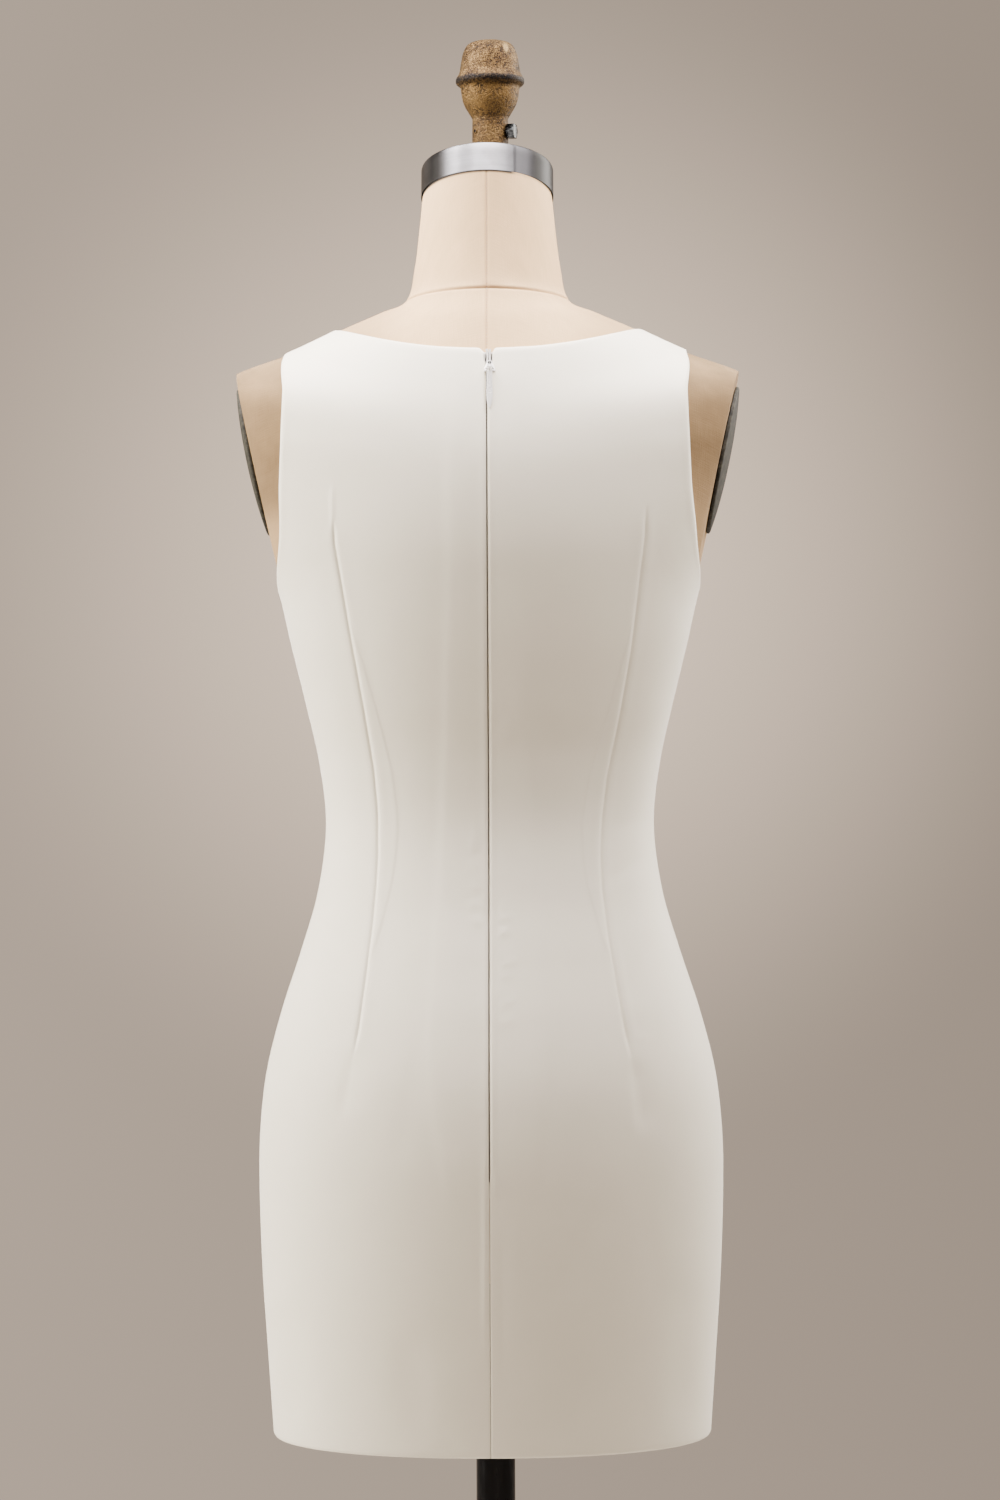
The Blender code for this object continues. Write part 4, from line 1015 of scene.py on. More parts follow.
# Slider's outline: height from its middle and half width, in millimetres.
SLIDER_OUTLINE = (
    (-4.75, 2.6), (-4.70, 3.2), (-4.50, 3.72), (-4.15, 4.06), (-3.60, 4.20), (-1.9, 3.85),
    (-0.24, 3.44), (1.0, 2.80), (2.14, 2.34), (3.4, 2.14), (4.1, 1.58), (4.5, 1.02),
    (4.70, 0.55), (4.75, 0.15))
MOUTH = (0.0, 2.3, 1.25, 1.55)          # middle, height, half width and half height
LUG_RADIUS = 2.1
LUG_RISE = 1.6
LUG_FOOT = 0.4
LUG_PROFILE = ((1.05, 0.45), (1.2, 0.55), (1.95, 0.55), (2.1, 0.45), (2.1, -0.45),
               (1.95, -0.55), (1.2, -0.55), (1.05, -0.45), (1.05, 0.45))
PULL_LENGTH = 30.5
PULL_HALF_WIDTH = 2.3
PULL_THICKNESS = 1.0
PULL_TIP_CLEAR = 0.0006
PULL_NECK = 2.3                         # from the pin down to the blade
PULL_OUTLINE = (
    (0.072, 0.50), (0.078, 0.74), (0.095, 0.84), (0.30, 0.86), (0.46, 0.95), (0.62, 1.0),
    (0.74, 0.95), (0.82, 0.86), (0.90, 0.64), (0.96, 0.40), (0.985, 0.24), (1.0, 0.06))
PULL_RINGS = (11.4, 14.6, 17.8)          # below the pin
PULL_LINES = (6.1, 8.8)
# Open coil above the slider: each thread's path of (x, z) and its thickness along it.
STRAND_DEPTH = 0.25
STRANDS = (
    (((-0.1, 1387.6), (-0.4, 1386.4), (-0.95, 1383.5), (-0.8, 1380.5), (-0.2, 1378.2)),
     (0.95, 0.85, 0.55, 0.55, 0.55)),
    (((-2.5, 1387.4), (-2.45, 1386.2), (-2.4, 1383.5), (-2.35, 1381.0), (-2.3, 1378.2)),
     (0.9, 0.8, 0.55, 0.55, 0.55)),
)
PAINTED_SHADOW_DEPTH = 0.75           # and dark threads behind it: painted shadow between the open threads
PAINTED_SHADOW_CORES = (
    (((-1.7, 1386.0), (-1.7, 1382.5), (-1.5, 1378.5)), (0.25, 0.40, 0.40)),
    (((0.55, 1384.6), (0.40, 1381.5), (1.2, 1378.0)), (0.2, 0.42, 0.45)),
    (((-3.6, 1384.6), (-3.5, 1381.5), (-3.7, 1378.8)), (0.2, 0.34, 0.30)),
)


def on_back(x, z, out):
    """Point x millimetres from the centre and z up, moved out of the cloth's face."""
    level = level_at_back_height(z)
    angle = math.copysign(float(angle_at_width(abs(x), level)), x)
    return surface(angle, level, out * MM)


def make_zip_tape(material):
    """Tape behind the gap, one strip for both of its halves."""
    bottom = level_at_back_height(ZIP_END_Z - TAPE_TAIL)
    levels = np.linspace(bottom, level_at_back_height(TAPE_TOP_Z), TAPE_ROWS)
    edge = np.arctan2(TAPE_HALF_WIDTH, rings(levels)["back"] * MM)
    angles = edge[:, None] * np.linspace(-1.0, 1.0, TAPE_COLUMNS)[None, :]
    bm = grid_mesh(surface(angles, levels[:, None], -(CLOTH + TAPE_GAP)))
    tape = add_piece("zip_tape_cloth", bm, material, 60.0)
    add_wall(tape, TAPE_THICKNESS)
    settle(tape, "root", "zip_tape", "zip_tape")


def make_zip_coil(material):
    """Row of small teeth down the middle of the tape, below the slider."""
    coil = bmesh.new()
    low, high = ZIP_END_Z, SLIDER_Z - 4.0
    count = int((high - low) * MM / COIL_PITCH)
    for tooth in range(count):
        side = COIL_SIDE if tooth % 2 else -COIL_SIDE
        centre = on_back(side, low + (high - low) * tooth / count, -COIL_DEPTH)
        matrix = Matrix.Translation(centre) @ Matrix.Diagonal((*COIL_TOOTH, 1.0))
        bmesh.ops.create_icosphere(coil, subdivisions=1, radius=1.0, matrix=matrix)
    # The teeth take the near-black coil finish: painted shade in the gap.
    settle(add_piece("zip_coil", coil, material, 80.0), "root", "zip_tape")


def make_threads(name, rows, depth, material):
    """Threads of the open coil, this deep behind the cloth's face."""
    threads = []
    for path, radii in rows:
        path = rounded_path(path)
        thick = np.interp(np.linspace(0, 1, len(path)), np.linspace(0, 1, len(radii)), radii)
        threads.append(tube([on_back(x, z, -depth) for x, z in path], thick * MM, 10))
    settle(add_piece(name, joined(*threads), material, 60.0), "root", "zip_tape")


def zip_frame():
    """Frame of the slider: local Y points out of the cloth and Z up along it."""
    level = level_at_back_height(SLIDER_Z)
    point = surface(0.0, level) + np.array([SLIDER_SIDE, 0.0, 0.0])
    up = surface(0.0, level + 0.05) - surface(0.0, level - 0.05)
    return Matrix.Translation(point) @ Matrix.Rotation(math.atan2(-up[1], up[2]), 4, "X")


def pin_place():
    """Centre of the pull's pin in the slider's frame."""
    rise = FIT + (SLIDER_THICKNESS + LUG_RISE) * MM
    return Vector((0.0, rise, (LUG_RADIUS + LUG_FOOT - SLIDER_LENGTH / 2.0) * MM))


def plate_loops(heights, half_widths, front_at, back, columns):
    """Loops of a flat piece: its front face has a relief, and its back is plain."""
    shares = np.linspace(-1.0, 1.0, columns)
    loops = []
    for height, half in zip(heights, half_widths):
        across = shares * half
        front = np.column_stack([across, front_at(across, height, shares),
                                 np.full(columns, height)])
        rear = np.column_stack([across[[-1, columns // 2, 0]], np.full(3, back),
                                np.full(3, height)])
        loops.append(np.vstack([front, rear]))
    return np.array(loops)


def slider_pits(across, height):
    """Depth of the slider's mouth and of the slot under the pull's bar, in millimetres."""
    x, z, half_width, half_height = MOUTH
    reach = np.hypot((across - x) / half_width, (height - z) / half_height)
    mouth = soft_edge(reach - 0.92, 0.12) * (1.0 - 0.85 * hump(across + 0.1, 0.32))
    arch = height + 1.25 + 0.17 * across ** 2
    slot = hump(arch, 0.36) * soft_edge(np.abs(across) - 3.0, 0.25)
    return np.maximum(mouth, slot)


def pull_marks(across, height):
    """Depth of the pull's chain of pressed rings and of the two lines above it."""
    marks = 0.0
    for ring in PULL_RINGS:
        off = np.abs(np.hypot(across, height + ring) - 1.25)
        marks = marks + hump(off, 0.26)
    low, high = PULL_LINES
    inside = soft_edge(-height - high, 0.2) * soft_edge(height + low, 0.2)
    marks = marks + inside * hump(np.abs(across) - 0.62, 0.2)
    return np.clip(marks, 0.0, 1.0)


def make_zip_slider(material):
    """Bell-shaped slider with its mouth and slot, and the lug for the pull."""

    def front_at(across, height, shares):
        dome = SLIDER_THICKNESS + 0.35 * (1.0 - shares ** 2)
        rounded = 1.0 - 0.55 * np.abs(shares) ** 7 - 0.5 * abs(height / 4.75) ** 16
        return dome * rounded - 0.95 * slider_pits(across, height)

    heights = np.linspace(-SLIDER_LENGTH / 2.0, SLIDER_LENGTH / 2.0, 72)
    widths = table_value(SLIDER_OUTLINE, heights)
    body = closed_shape(plate_loops(heights, widths, front_at, 0.0, 57) * MM)
    place = (Matrix.Translation(pin_place() - Vector((0.0, FIT, 0.0)))
             @ Matrix.Rotation(math.pi / 2, 4, "Y"))
    lug = turned_shape([(radius * MM, side * MM) for radius, side in LUG_PROFILE], 32, place)
    piece = add_piece("zip_slider_cast", joined(body, lug), material, 50.0)
    places = vertex_places(piece) / MM
    on_face = (places[:, 1] > 0.05) & (places[:, 1] < SLIDER_THICKNESS + 0.4)
    # Painted shade in the mouth and slot, as deep as they are cut.
    add_value(piece, "painted_pit_shade", slider_pits(places[:, 0], places[:, 2]) * on_face)
    piece.data.transform(zip_frame() @ Matrix.Translation((0.0, FIT, 0.0)))
    settle(piece, "root", "zip_metal", "zip_slider")


def make_zip_pull(material):
    """Blade on a bar through the lug, with pressed rings, hanging down along the cloth."""

    def front_at(across, height, shares):
        edge = 1.0 - 0.7 * np.abs(shares) ** 6
        return PULL_THICKNESS / 2.0 * edge - 0.22 * pull_marks(across, height)

    heights = -np.linspace(PULL_NECK, PULL_LENGTH, 150)
    widths = table_value(PULL_OUTLINE, -heights / PULL_LENGTH) * PULL_HALF_WIDTH
    blade = closed_shape(
        plate_loops(heights, widths, front_at, -PULL_THICKNESS / 2.0, 31) * MM)
    arm = PULL_HALF_WIDTH - 0.55
    bar = rounded_path([(-arm, -PULL_NECK - 0.6), (-arm, 0.0), (arm, 0.0),
                        (arm, -PULL_NECK - 0.6)], 3)
    wire = tube([(x * MM, 0.0, z * MM) for x, z in bar], 0.5 * MM, 10)
    piece = add_piece("zip_pull_blade", joined(blade, wire), material, 50.0)
    places = vertex_places(piece) / MM
    marks = pull_marks(places[:, 0], places[:, 2]) * (places[:, 1] > 0.05)
    # Painted shade in the pressed marks.
    add_value(piece, "painted_pit_shade", marks * 0.34)
    pin = zip_frame() @ pin_place()
    tip_z = SLIDER_Z - SLIDER_LENGTH / 2.0 - PULL_LENGTH
    tip = surface(0.0, level_at_back_height(tip_z),
                  PULL_TIP_CLEAR + PULL_THICKNESS * MM / 2.0)
    down = Vector(tip) - pin
    hang = math.atan2(down.y, -down.z)
    piece.data.transform(Matrix.Translation(pin) @ Matrix.Rotation(hang, 4, "X"))
    settle(piece, "zip_pull", "zip_metal", "zip_pull")


# ------------------------------------------------------------------------------ form
FORM_COLUMNS = 132
FORM_ROWS_PER_RING = 7
SEAM_OFFSETS = (0.005, 0.012, 0.024, 0.045)
NECK_SEAM_OFFSETS = (0.018, 0.045, 0.085, 0.14)
CANVAS_SEAM_SINK = 0.55
NECK_RING_HEIGHT = 26.0     # from the neck's seam to the next ring, in millimetres
POLE_RADIUS = 0.0146
POLE_SOCKET_DEPTH = 0.070
ARM_FACE_X = 0.1852
ARM_FACE_Z = 1.366
ARM_FACE_SLOPE = 0.21
ARM_EDGE_ROUND = 0.0016
RIGHT_ARM_TURN = math.radians(4.0)      # this arm's cut face is turned a little to the back
PLATE_Z = 1.313
PLATE_HALF_HEIGHT = 0.056
PLATE_HALF_WIDTH = 0.038
# Dished plate: share of its half size, and height off its back in millimetres.
PLATE_PROFILE = (
    (0.0, 6.4), (0.12, 6.35), (0.24, 6.25), (0.35, 6.1), (0.44, 5.85), (0.53, 5.55),
    (0.62, 5.2), (0.70, 4.8), (0.76, 4.45), (0.82, 4.1), (0.88, 3.65), (0.94, 3.2),
    (0.965, 3.0), (0.985, 2.6), (0.997, 2.1), (1.0, 1.6), (1.0, 0.5), (0.985, 0.0),
    (0.0, 0.0))
PLATE_SEGMENTS = 80
PLATE_GAP = 0.0003


def form_inset(angle, level):
    """How far the form's skin lies behind the dress's outer face, in metres."""
    low, tip = level_of("mid_arm"), level_of("shoulder_tip")
    rise = smooth_step((level - low) / (tip - low))
    on_shoulder = rise * np.sin(angle) ** 2
    above = np.clip(level - level_of("neckline"), 0.0, 1.0)
    carried = np.maximum(on_shoulder, above)
    inset = CLOTH + SEAT + (EASE - SEAT) * (1.0 - carried)
    from_underarm = (level - level_of("underarm")) / UNDERARM_LEVELS
    inset = inset + UNDERARM_RELIEF * hump(from_underarm, 1.0) * np.sin(angle) ** 8
    across = rings(level)["back"] * MM * np.tan(np.minimum(np.abs(angle), 1.2))
    hollow = ZIP_RELIEF * hump(across, ZIP_RELIEF_HALF_WIDTH) * (1.0 - above)
    return inset + np.where(np.cos(angle) > 0.0, hollow, 0.0)


def spaced(values, gap):
    """The values in order, without those that follow another by less than the gap."""
    values = np.unique(values)
    return values[np.concatenate([[True], np.diff(values) > gap])]


def form_angles():
    """Angles from -180 to 180 degrees, with close columns along the four seams."""
    even_ones = np.linspace(-math.pi, math.pi, FORM_COLUMNS + 1)
    near = [quarter * math.pi / 2 + sign * step for quarter in range(-2, 3)
            for step in SEAM_OFFSETS for sign in (-1.0, 1.0)]
    angles = np.concatenate([even_ones, near, (0.0, math.pi / 2, -math.pi / 2)])
    angles = angles[(angles >= -math.pi) & (angles <= math.pi)]
    angles = spaced(np.round(angles, 7), 0.0015)
    angles[0], angles[-1] = -math.pi, math.pi
    return angles


def form_levels():
    """Levels from the form's bottom to its top, closer at the neck's seam and the band."""
    bottom = level_at_back_height((FORM_BOTTOM_Z + FORM_BOTTOM_ROUND) / MM)
    seam = level_of("neck_seam")
    count = int((LAST_LEVEL - bottom) * FORM_ROWS_PER_RING)
    even_ones = np.linspace(bottom, LAST_LEVEL, count)
    near = [seam + sign * step for step in (0.0, *NECK_SEAM_OFFSETS) for sign in (-1.0, 1.0)]
    under_band = LAST_LEVEL - np.array((0.02, 0.04, 0.055, 0.07, 0.09, 0.12))
    return spaced(np.round(np.concatenate([even_ones, near, under_band]), 6), 0.008)


def canvas_relief(angles, levels):
    """Seams of the canvas in millimetres: down the centre, the sides and round the neck."""
    size = rings(levels)
    relief = np.zeros(angles.shape)
    for seam in (-math.pi, 0.0, math.pi):
        away = (angles - seam) * size["back"]
        relief = relief - CANVAS_SEAM_SINK * hump(away, 0.7)
        relief = relief + 0.16 * hump(np.abs(away) - 2.4, 1.6)
    for seam in (-math.pi / 2, math.pi / 2):
        away = (angles - seam) * size["half_width"]
        relief = relief - CANVAS_SEAM_SINK * hump(away, 0.8)
    above = (levels - level_of("neck_seam")) * NECK_RING_HEIGHT
    relief = relief - 0.75 * hump(above, 0.75) + 0.35 * hump(above - 2.2, 1.5)
    return relief * smooth_step((LAST_LEVEL - levels) / 0.2)


def from_centre_line(points):
    """x, y and z of points in millimetres, x from the form's centre line."""
    return ((points - np.array([FORM_X, 0.0, 0.0])) / MM).T


def painted_band_shadow_at(points):
    """Painted shadow: a dark line on the canvas under the band, strongest under its outer
    layer.
    """
    x, y, z = from_centre_line(points)
    top_z = NECK_TOP_Z / MM + y * math.tan(NECK_LEAN)
    turn = np.degrees(np.arctan2(x, y))
    under_lap = smooth_step((turn + 26.0) / 3.0) * smooth_step((110.0 - turn) / 20.0)
    return np.exp(-((top_z - z) / 1.9) ** 4) * (0.2 + 0.8 * under_lap)


def stain_at(points):
    """Brown stain at the middle of the neck's seam, at the back."""
    x, y, z = from_centre_line(points)
    spot = 0.5 * hump(x + 2.0, 9.0) * hump(z - 1438.0, 2.3)
    line = 0.55 * hump(x + 1.0, 30.0) * hump(z - 1436.0, 0.9)
    seam = 0.34 * hump(x, 0.5) * smooth_step((z - 1385.0) / 10.0)
    return np.clip((spot + line + seam) * (y > 0.0), 0.0, 1.0)


def tan_and_shade_at(points):
    """How far the canvas is turned yellow and darkened with painted shade: the arms below
    their tops, more on the right side, which gets less light, and the shoulder slopes.
    """
    x, _, z = from_centre_line(points)
    on_slope = 0.55 * smooth_step((np.abs(x) - 40.0) / 60.0)
    on_arm = smooth_step((np.abs(x) - 132.0) / 14.0)
    left = 0.98 * (1.0 - 0.62 * smooth_step((1290.0 - z) / 45.0))
    right = 0.99 * (1.0 - 0.50 * smooth_step((1325.0 - z) / 70.0))
    return np.maximum(on_arm * np.where(x > 0.0, left, right), on_slope)


def arm_face_matrix(side):
    """Frame on the arm's flat face: local X points out of it."""
    lean = math.atan(ARM_FACE_SLOPE)
    middle_x = ARM_FACE_X - (ARM_FACE_Z - PLATE_Z) * ARM_FACE_SLOPE
    place = Matrix.Translation((FORM_X + side * middle_x, 0.0, PLATE_Z))
    if side > 0:
        return place @ Matrix.Rotation(lean, 4, "Y")
    place = place @ Matrix.Rotation(-RIGHT_ARM_TURN, 4, "Z")
    return place @ Matrix.Rotation(-lean, 4, "Y") @ Matrix.Rotation(math.pi, 4, "Z")


def form_points(angles, levels):
    """Rows from the roof of the pole's socket, round the underside, up the skin and in."""
    turns, heights = np.meshgrid(angles, levels)
    out = -form_inset(turns, heights) + canvas_relief(turns, heights) * MM
    body = surface(turns, heights, out)
    body[-1, :, 2] = NECK_TOP_Z + body[-1, :, 1] * math.tan(NECK_LEAN)
    low = body[0]
    inward = np.array([FORM_X, 0.0]) - low[:, :2]
    inward /= np.linalg.norm(inward, axis=1, keepdims=True)
    hole = ring_row(POLE_RADIUS + FIT, angles, FORM_BOTTOM_Z)
    roof = hole + np.array([0.0, 0.0, POLE_SOCKET_DEPTH])
    rows = [roof * np.array([0.0, 0.0, 1.0]), roof, hole]
    edge = low[:, :2] + inward * FORM_BOTTOM_ROUND
    for share in (0.35, 0.75):
        rows.append(hole.copy())
        rows[-1][:, :2] += (edge - hole[:, :2]) * share
    for angle in map(math.radians, (0.0, 30.0, 60.0)):
        rows.append(low.copy())
        rows[-1][:, :2] += inward * FORM_BOTTOM_ROUND * (1.0 - math.sin(angle))
        rows[-1][:, 2] = FORM_BOTTOM_Z + FORM_BOTTOM_ROUND * (1.0 - math.cos(angle))
    centre = body[-1].mean(axis=0)
    cap = [centre + (body[-1] - centre) * share for share in (0.97, 0.5, 0.0)]
    return np.stack([*rows, *body, *cap])


def cut_arm(bm, side):
    """Cuts an arm off flat, closes the cut and rounds its edge."""
    place = arm_face_matrix(side)
    normal = (place.to_3x3() @ Vector((1.0, 0.0, 0.0))).normalized()
    cut = bmesh.ops.bisect_plane(
        bm, geom=bm.verts[:] + bm.edges[:] + bm.faces[:], dist=FORM_WELD,
        plane_co=place.translation, plane_no=normal, clear_outer=True)
    rim = [item for item in cut["geom_cut"] if isinstance(item, bmesh.types.BMEdge)]
    bmesh.ops.holes_fill(bm, edges=rim, sides=0)
    bmesh.ops.bevel(bm, geom=rim, offset=ARM_EDGE_ROUND, segments=2, profile=0.5,
                    affect="EDGES", material=-1, clamp_overlap=True)


def make_form_body(material):
    """Padded torso and neck, with the socket for the pole in its underside."""
    bm = grid_mesh(form_points(form_angles(), form_levels()))
    bmesh.ops.remove_doubles(bm, verts=bm.verts, dist=FORM_WELD)
    for side in (1.0, -1.0):
        cut_arm(bm, side)
    bmesh.ops.recalc_face_normals(bm, faces=bm.faces)
    piece = add_piece("form_canvas", bm, material, 60.0)
    places = vertex_places(piece)
    # The stain is real; the tan share mixes yellowing with painted shade, and the band's line
    # is a painted shadow.
    for name, share_at in (("stain", stain_at), ("tan", tan_and_shade_at), ("painted_band_shadow", painted_band_shadow_at)):
        add_value(piece, name, share_at(places))
    return settle(piece, "root", "canvas", "form_body")


STITCHES_LOW, STITCHES_HIGH = 1392.0, 1519.0
STITCH_PITCH = 2.3
STITCH_SIZE = (0.00020, 0.00020, 0.00070)   # half of a stitch


def make_neck_stitches(material):
    """Small stitches down the centre seam of the neck and the shoulders, at the back."""
    bm = bmesh.new()
    for height in np.arange(STITCHES_LOW, STITCHES_HIGH, STITCH_PITCH):
        level = level_at_back_height(height)
        inset = form_inset(0.0, level)
        centre = surface(0.0, level, -inset + 0.00005)
        along = Vector(surface(0.0, level + 0.05, -inset) - centre)
        turn = along.to_track_quat("Z", "X").to_matrix().to_4x4()
        matrix = Matrix.Translation(centre) @ turn @ Matrix.Diagonal((*STITCH_SIZE, 1.0))
        bmesh.ops.create_icosphere(bm, subdivisions=1, radius=1.0, matrix=matrix)
    settle(add_piece("neck_stitches", bm, material, 80.0), "root", "canvas")


def make_arm_plates(material):
    """Dished oval plates over the cut arms."""
    for side, name in ((1.0, "left"), (-1.0, "right")):
        oval = Matrix.Diagonal((PLATE_HALF_HEIGHT, PLATE_HALF_WIDTH, MM, 1.0))
        place = (arm_face_matrix(side) @ Matrix.Translation((PLATE_GAP, 0.0, 0.0))
                 @ Matrix.Rotation(math.pi / 2, 4, "Y") @ oval)
        bm = turned_shape(PLATE_PROFILE, PLATE_SEGMENTS, place)
        piece = add_piece("plate_" + name, bm, material, 35.0)
        settle(piece, "root", "plate_grey", "arm_plate_" + name)


# --------------------------------------------------------------------- band and finial
BAND_RADIUS = 0.0496
BAND_HEIGHT = 0.0226
BAND_SHEET = 0.0008
BAND_OVERLAP = math.radians(38.0)
BAND_END_ANGLE = math.radians(-24.0)
BAND_STEPS = 150
TURNED_STEPS = 96
# Rows of the strip: height, and how far the radius changes at its rolled top edge.
BAND_ROWS = ((0.0, 0.0), (0.0003, 0.0), (0.0008, 0.0), (0.0055, 0.0), (0.0110, 0.0),
             (0.0168, 0.0), (0.0210, 0.0), (0.0221, -0.0003), (0.0226, -0.0011))
# Painted dark reflection on the brushed steel: degrees round the band from its back, and
# share.
BAND_PAINTED_REFLECTION = (
    (-180.0, 0.3), (-110.0, 0.9), (-80.0, 1.0), (-54.0, 1.0), (-46.0, 0.95), (-38.0, 0.95),
    (-32.0, 0.95), (-25.0, 0.92), (-19.0, 0.81), (-13.0, 0.60), (-8.0, 0.43), (-2.0, 0.33),
    (3.0, 0.37), (9.0, 0.35), (14.0, 0.58), (20.0, 0.70), (26.0, 0.70), (33.0, 0.84),
    (40.0, 0.955), (47.0, 0.985), (56.0, 0.95), (68.0, 0.76), (90.0, 0.95), (110.0, 0.8),
    (180.0, 0.3))


def neck_frame():
    """Frame of the neck's leaning top: local Z points out of it."""
    return (Matrix.Translation((FORM_X, 0.0, NECK_TOP_Z))
            @ Matrix.Rotation(NECK_LEAN, 4, "X"))


def make_neck_band(material):
    """Steel strip wrapped round the neck, its end lapped over its start, and a top plate."""
    turns = np.linspace(0.0, math.tau + BAND_OVERLAP, BAND_STEPS)
    radius = BAND_RADIUS - BAND_SHEET * 0.3 * (1.0 - smooth_step(turns / 3.0))
    angle = BAND_END_ANGLE - (math.tau + BAND_OVERLAP) + turns
    rows = [ring_row(radius + change, angle, FIT + height) for height, change in BAND_ROWS]
    strip = add_piece("neck_band_strip", grid_mesh(np.stack(rows)), material, 60.0)
    places = vertex_places(strip)
    around = np.degrees(np.arctan2(places[:, 0], places[:, 1]))
    # Share of painted dark reflection round the band.
    add_value(strip, "painted_dark_reflection", table_value(BAND_PAINTED_REFLECTION, around))
    place = neck_frame()
    strip.data.transform(place)
    add_wall(strip, BAND_SHEET * 0.35)
    settle(strip, "root", "steel", "neck_band")
    top = FIT + BAND_HEIGHT
    inner = BAND_RADIUS - 0.0017
    profile = [(0.0, top - 0.0010), (0.020, top - 0.0010), (inner - 0.002, top - 0.0012),
               (inner, top - 0.0016), (inner, FIT), (0.0, FIT)]
    top_plate = moved(turned_grid(profile, TURNED_STEPS), place)
    settle(add_piece("neck_top_plate", top_plate, material, 40.0), "root", "steel")


# Finial: radius and depth below the top, in millimetres, down to the collar.
FINIAL_TOP_Z = 1.6281
FINIAL_COLLAR_RADIUS = 0.0135
FINIAL_PROFILE = (
    (0.0, 0.0), (3.0, 0.05), (6.0, 0.2), (8.6, 0.5), (11.0, 0.9), (13.0, 1.4), (14.6, 2.0),
    (15.8, 2.7), (16.8, 3.4), (18.1, 5.0), (19.2, 7.0), (20.1, 9.2), (20.8, 11.6),
    (21.2, 13.9), (21.6, 16.1), (21.95, 18.4), (22.3, 20.7), (22.6, 22.6), (23.0, 24.3),
    (23.7, 25.7), (24.5, 27.0), (25.1, 28.0), (25.5, 28.8), (25.75, 29.7), (25.8, 30.6),
    (25.65, 31.6), (25.2, 32.5), (24.2, 33.4), (23.0, 34.3), (22.3, 35.1), (22.0, 36.1),
    (21.7, 38.5), (21.35, 41.0), (20.9, 43.4), (20.3, 45.7), (19.5, 47.9), (18.4, 50.3),
    (17.0, 52.5), (15.9, 54.4), (14.9, 56.1), (14.1, 57.5), (13.6, 58.4), (13.5, 59.4),
    (13.5, 64.0), (13.5, 70.0), (13.5, 76.0))
BRIM = (27.6, 33.2)         # the brim's edge is dark between these depths
RUBBED_SPOT = (-0.0120, 0.0142, 1.6208)     # a smooth patch near the top
RUBBED_SIZE = (0.0020, 0.0040, 0.0048)
CAST_UNEVEN = 0.000035
BOLT_TURN = math.radians(-20.0)
BOLT_Z = 1.5593
BOLT_HEAD_ACROSS_FLATS = 0.0105
BOLT_HEAD_LENGTH = 0.0065
BOLT_SHANK_RADIUS = 0.0030
BOLT_THREAD_DEPTH, BOLT_THREAD_STEP = 0.0003, 0.00045
COLLAR_HOLE_RADIUS = 0.0016
COLLAR_HOLE_TURN = math.radians(36.9)
HOLE_SEGMENTS = 28


def band_top_z_at_pole():
    """Height at which the collar clears the high side of the leaning band."""
    high_side = FINIAL_COLLAR_RADIUS * math.sin(NECK_LEAN)
    top = NECK_TOP_Z + (FIT + BAND_HEIGHT) / math.cos(NECK_LEAN)
    return top + high_side + FIT


def make_finial(material):
    """Cast cap over a flange, a bowl and a collar, slightly uneven as sand leaves it."""
    seat = band_top_z_at_pole()
    profile = [(radius * MM, FINIAL_TOP_Z - down * MM) for radius, down in FINIAL_PROFILE]
    profile = [point for point in profile if point[1] > seat + 0.001]
    profile += [(FINIAL_COLLAR_RADIUS, seat + 0.0004), (FINIAL_COLLAR_RADIUS - 0.0004, seat),
                (0.0, seat)]
    chance = np.random.default_rng(5)
    swings = [(chance.integers(2, 9), chance.uniform(0.0, math.tau), chance.uniform(40, 260))
              for _ in range(9)]

    def reach_at(radius, height, angles):
        uneven = sum(np.sin(count * angles + phase + height * rate)
                     for count, phase, rate in swings) * CAST_UNEVEN
        return np.maximum(radius + uneven * min(radius / 0.01, 1.0), 0.0)

    bm = turned_grid(profile, TURNED_STEPS, reach_at)
    piece = add_piece("finial_cast", bm, material, 50.0)
    places = vertex_places(piece)
    depths = (FINIAL_TOP_Z - places[:, 2]) / MM
    add_value(piece, "brim", smooth_step((depths - BRIM[0]) / 1.6)
              * smooth_step((BRIM[1] - depths) / 1.2))
    # Share of painted light on the downward-facing bowl.
    add_value(piece, "bowl", smooth_step((depths - BRIM[1]) / 3.0)
              * smooth_step((60.0 - depths) / 6.0))
    away = np.linalg.norm((places - np.array(RUBBED_SPOT)) / np.array(RUBBED_SIZE), axis=1)
    add_value(piece, "rubbed", smooth_step(1.6 - away))
    settle(piece, "root", "bronze", "finial")


def make_collar_hole(material, hole_shade_material):
    """Small hole with a worn rim in the finial's collar, and a black floor inside it as
    painted shade.
    """
    place = (Matrix.Translation((0.0, 0.0, BOLT_Z)) @ Matrix.Rotation(COLLAR_HOLE_TURN, 4, "Z")
             @ Matrix.Translation((FINIAL_COLLAR_RADIUS - 0.00045, 0.0, 0.0))
             @ Matrix.Rotation(math.pi / 2, 4, "Y"))
    rim = COLLAR_HOLE_RADIUS
    profile = [(rim * 0.94, 0.0012), (rim * 1.20, 0.0010), (rim * 1.30, 0.0), (rim, -0.0004)]
    ring = turned_shape(profile, HOLE_SEGMENTS, place)
    piece = add_piece("collar_hole_rim", ring, material, 50.0)
    add_wall(piece, 0.0002)
    settle(piece, "root", "bronze")
    # Black floor just inside the hole: painted shade.
    profile = [(0.0, 0.0008), (rim, 0.0008), (rim, 0.0)]
    floor = turned_shape(profile, HOLE_SEGMENTS, place)
    settle(add_piece("collar_hole", floor, hole_shade_material, 50.0), "root", "bronze")


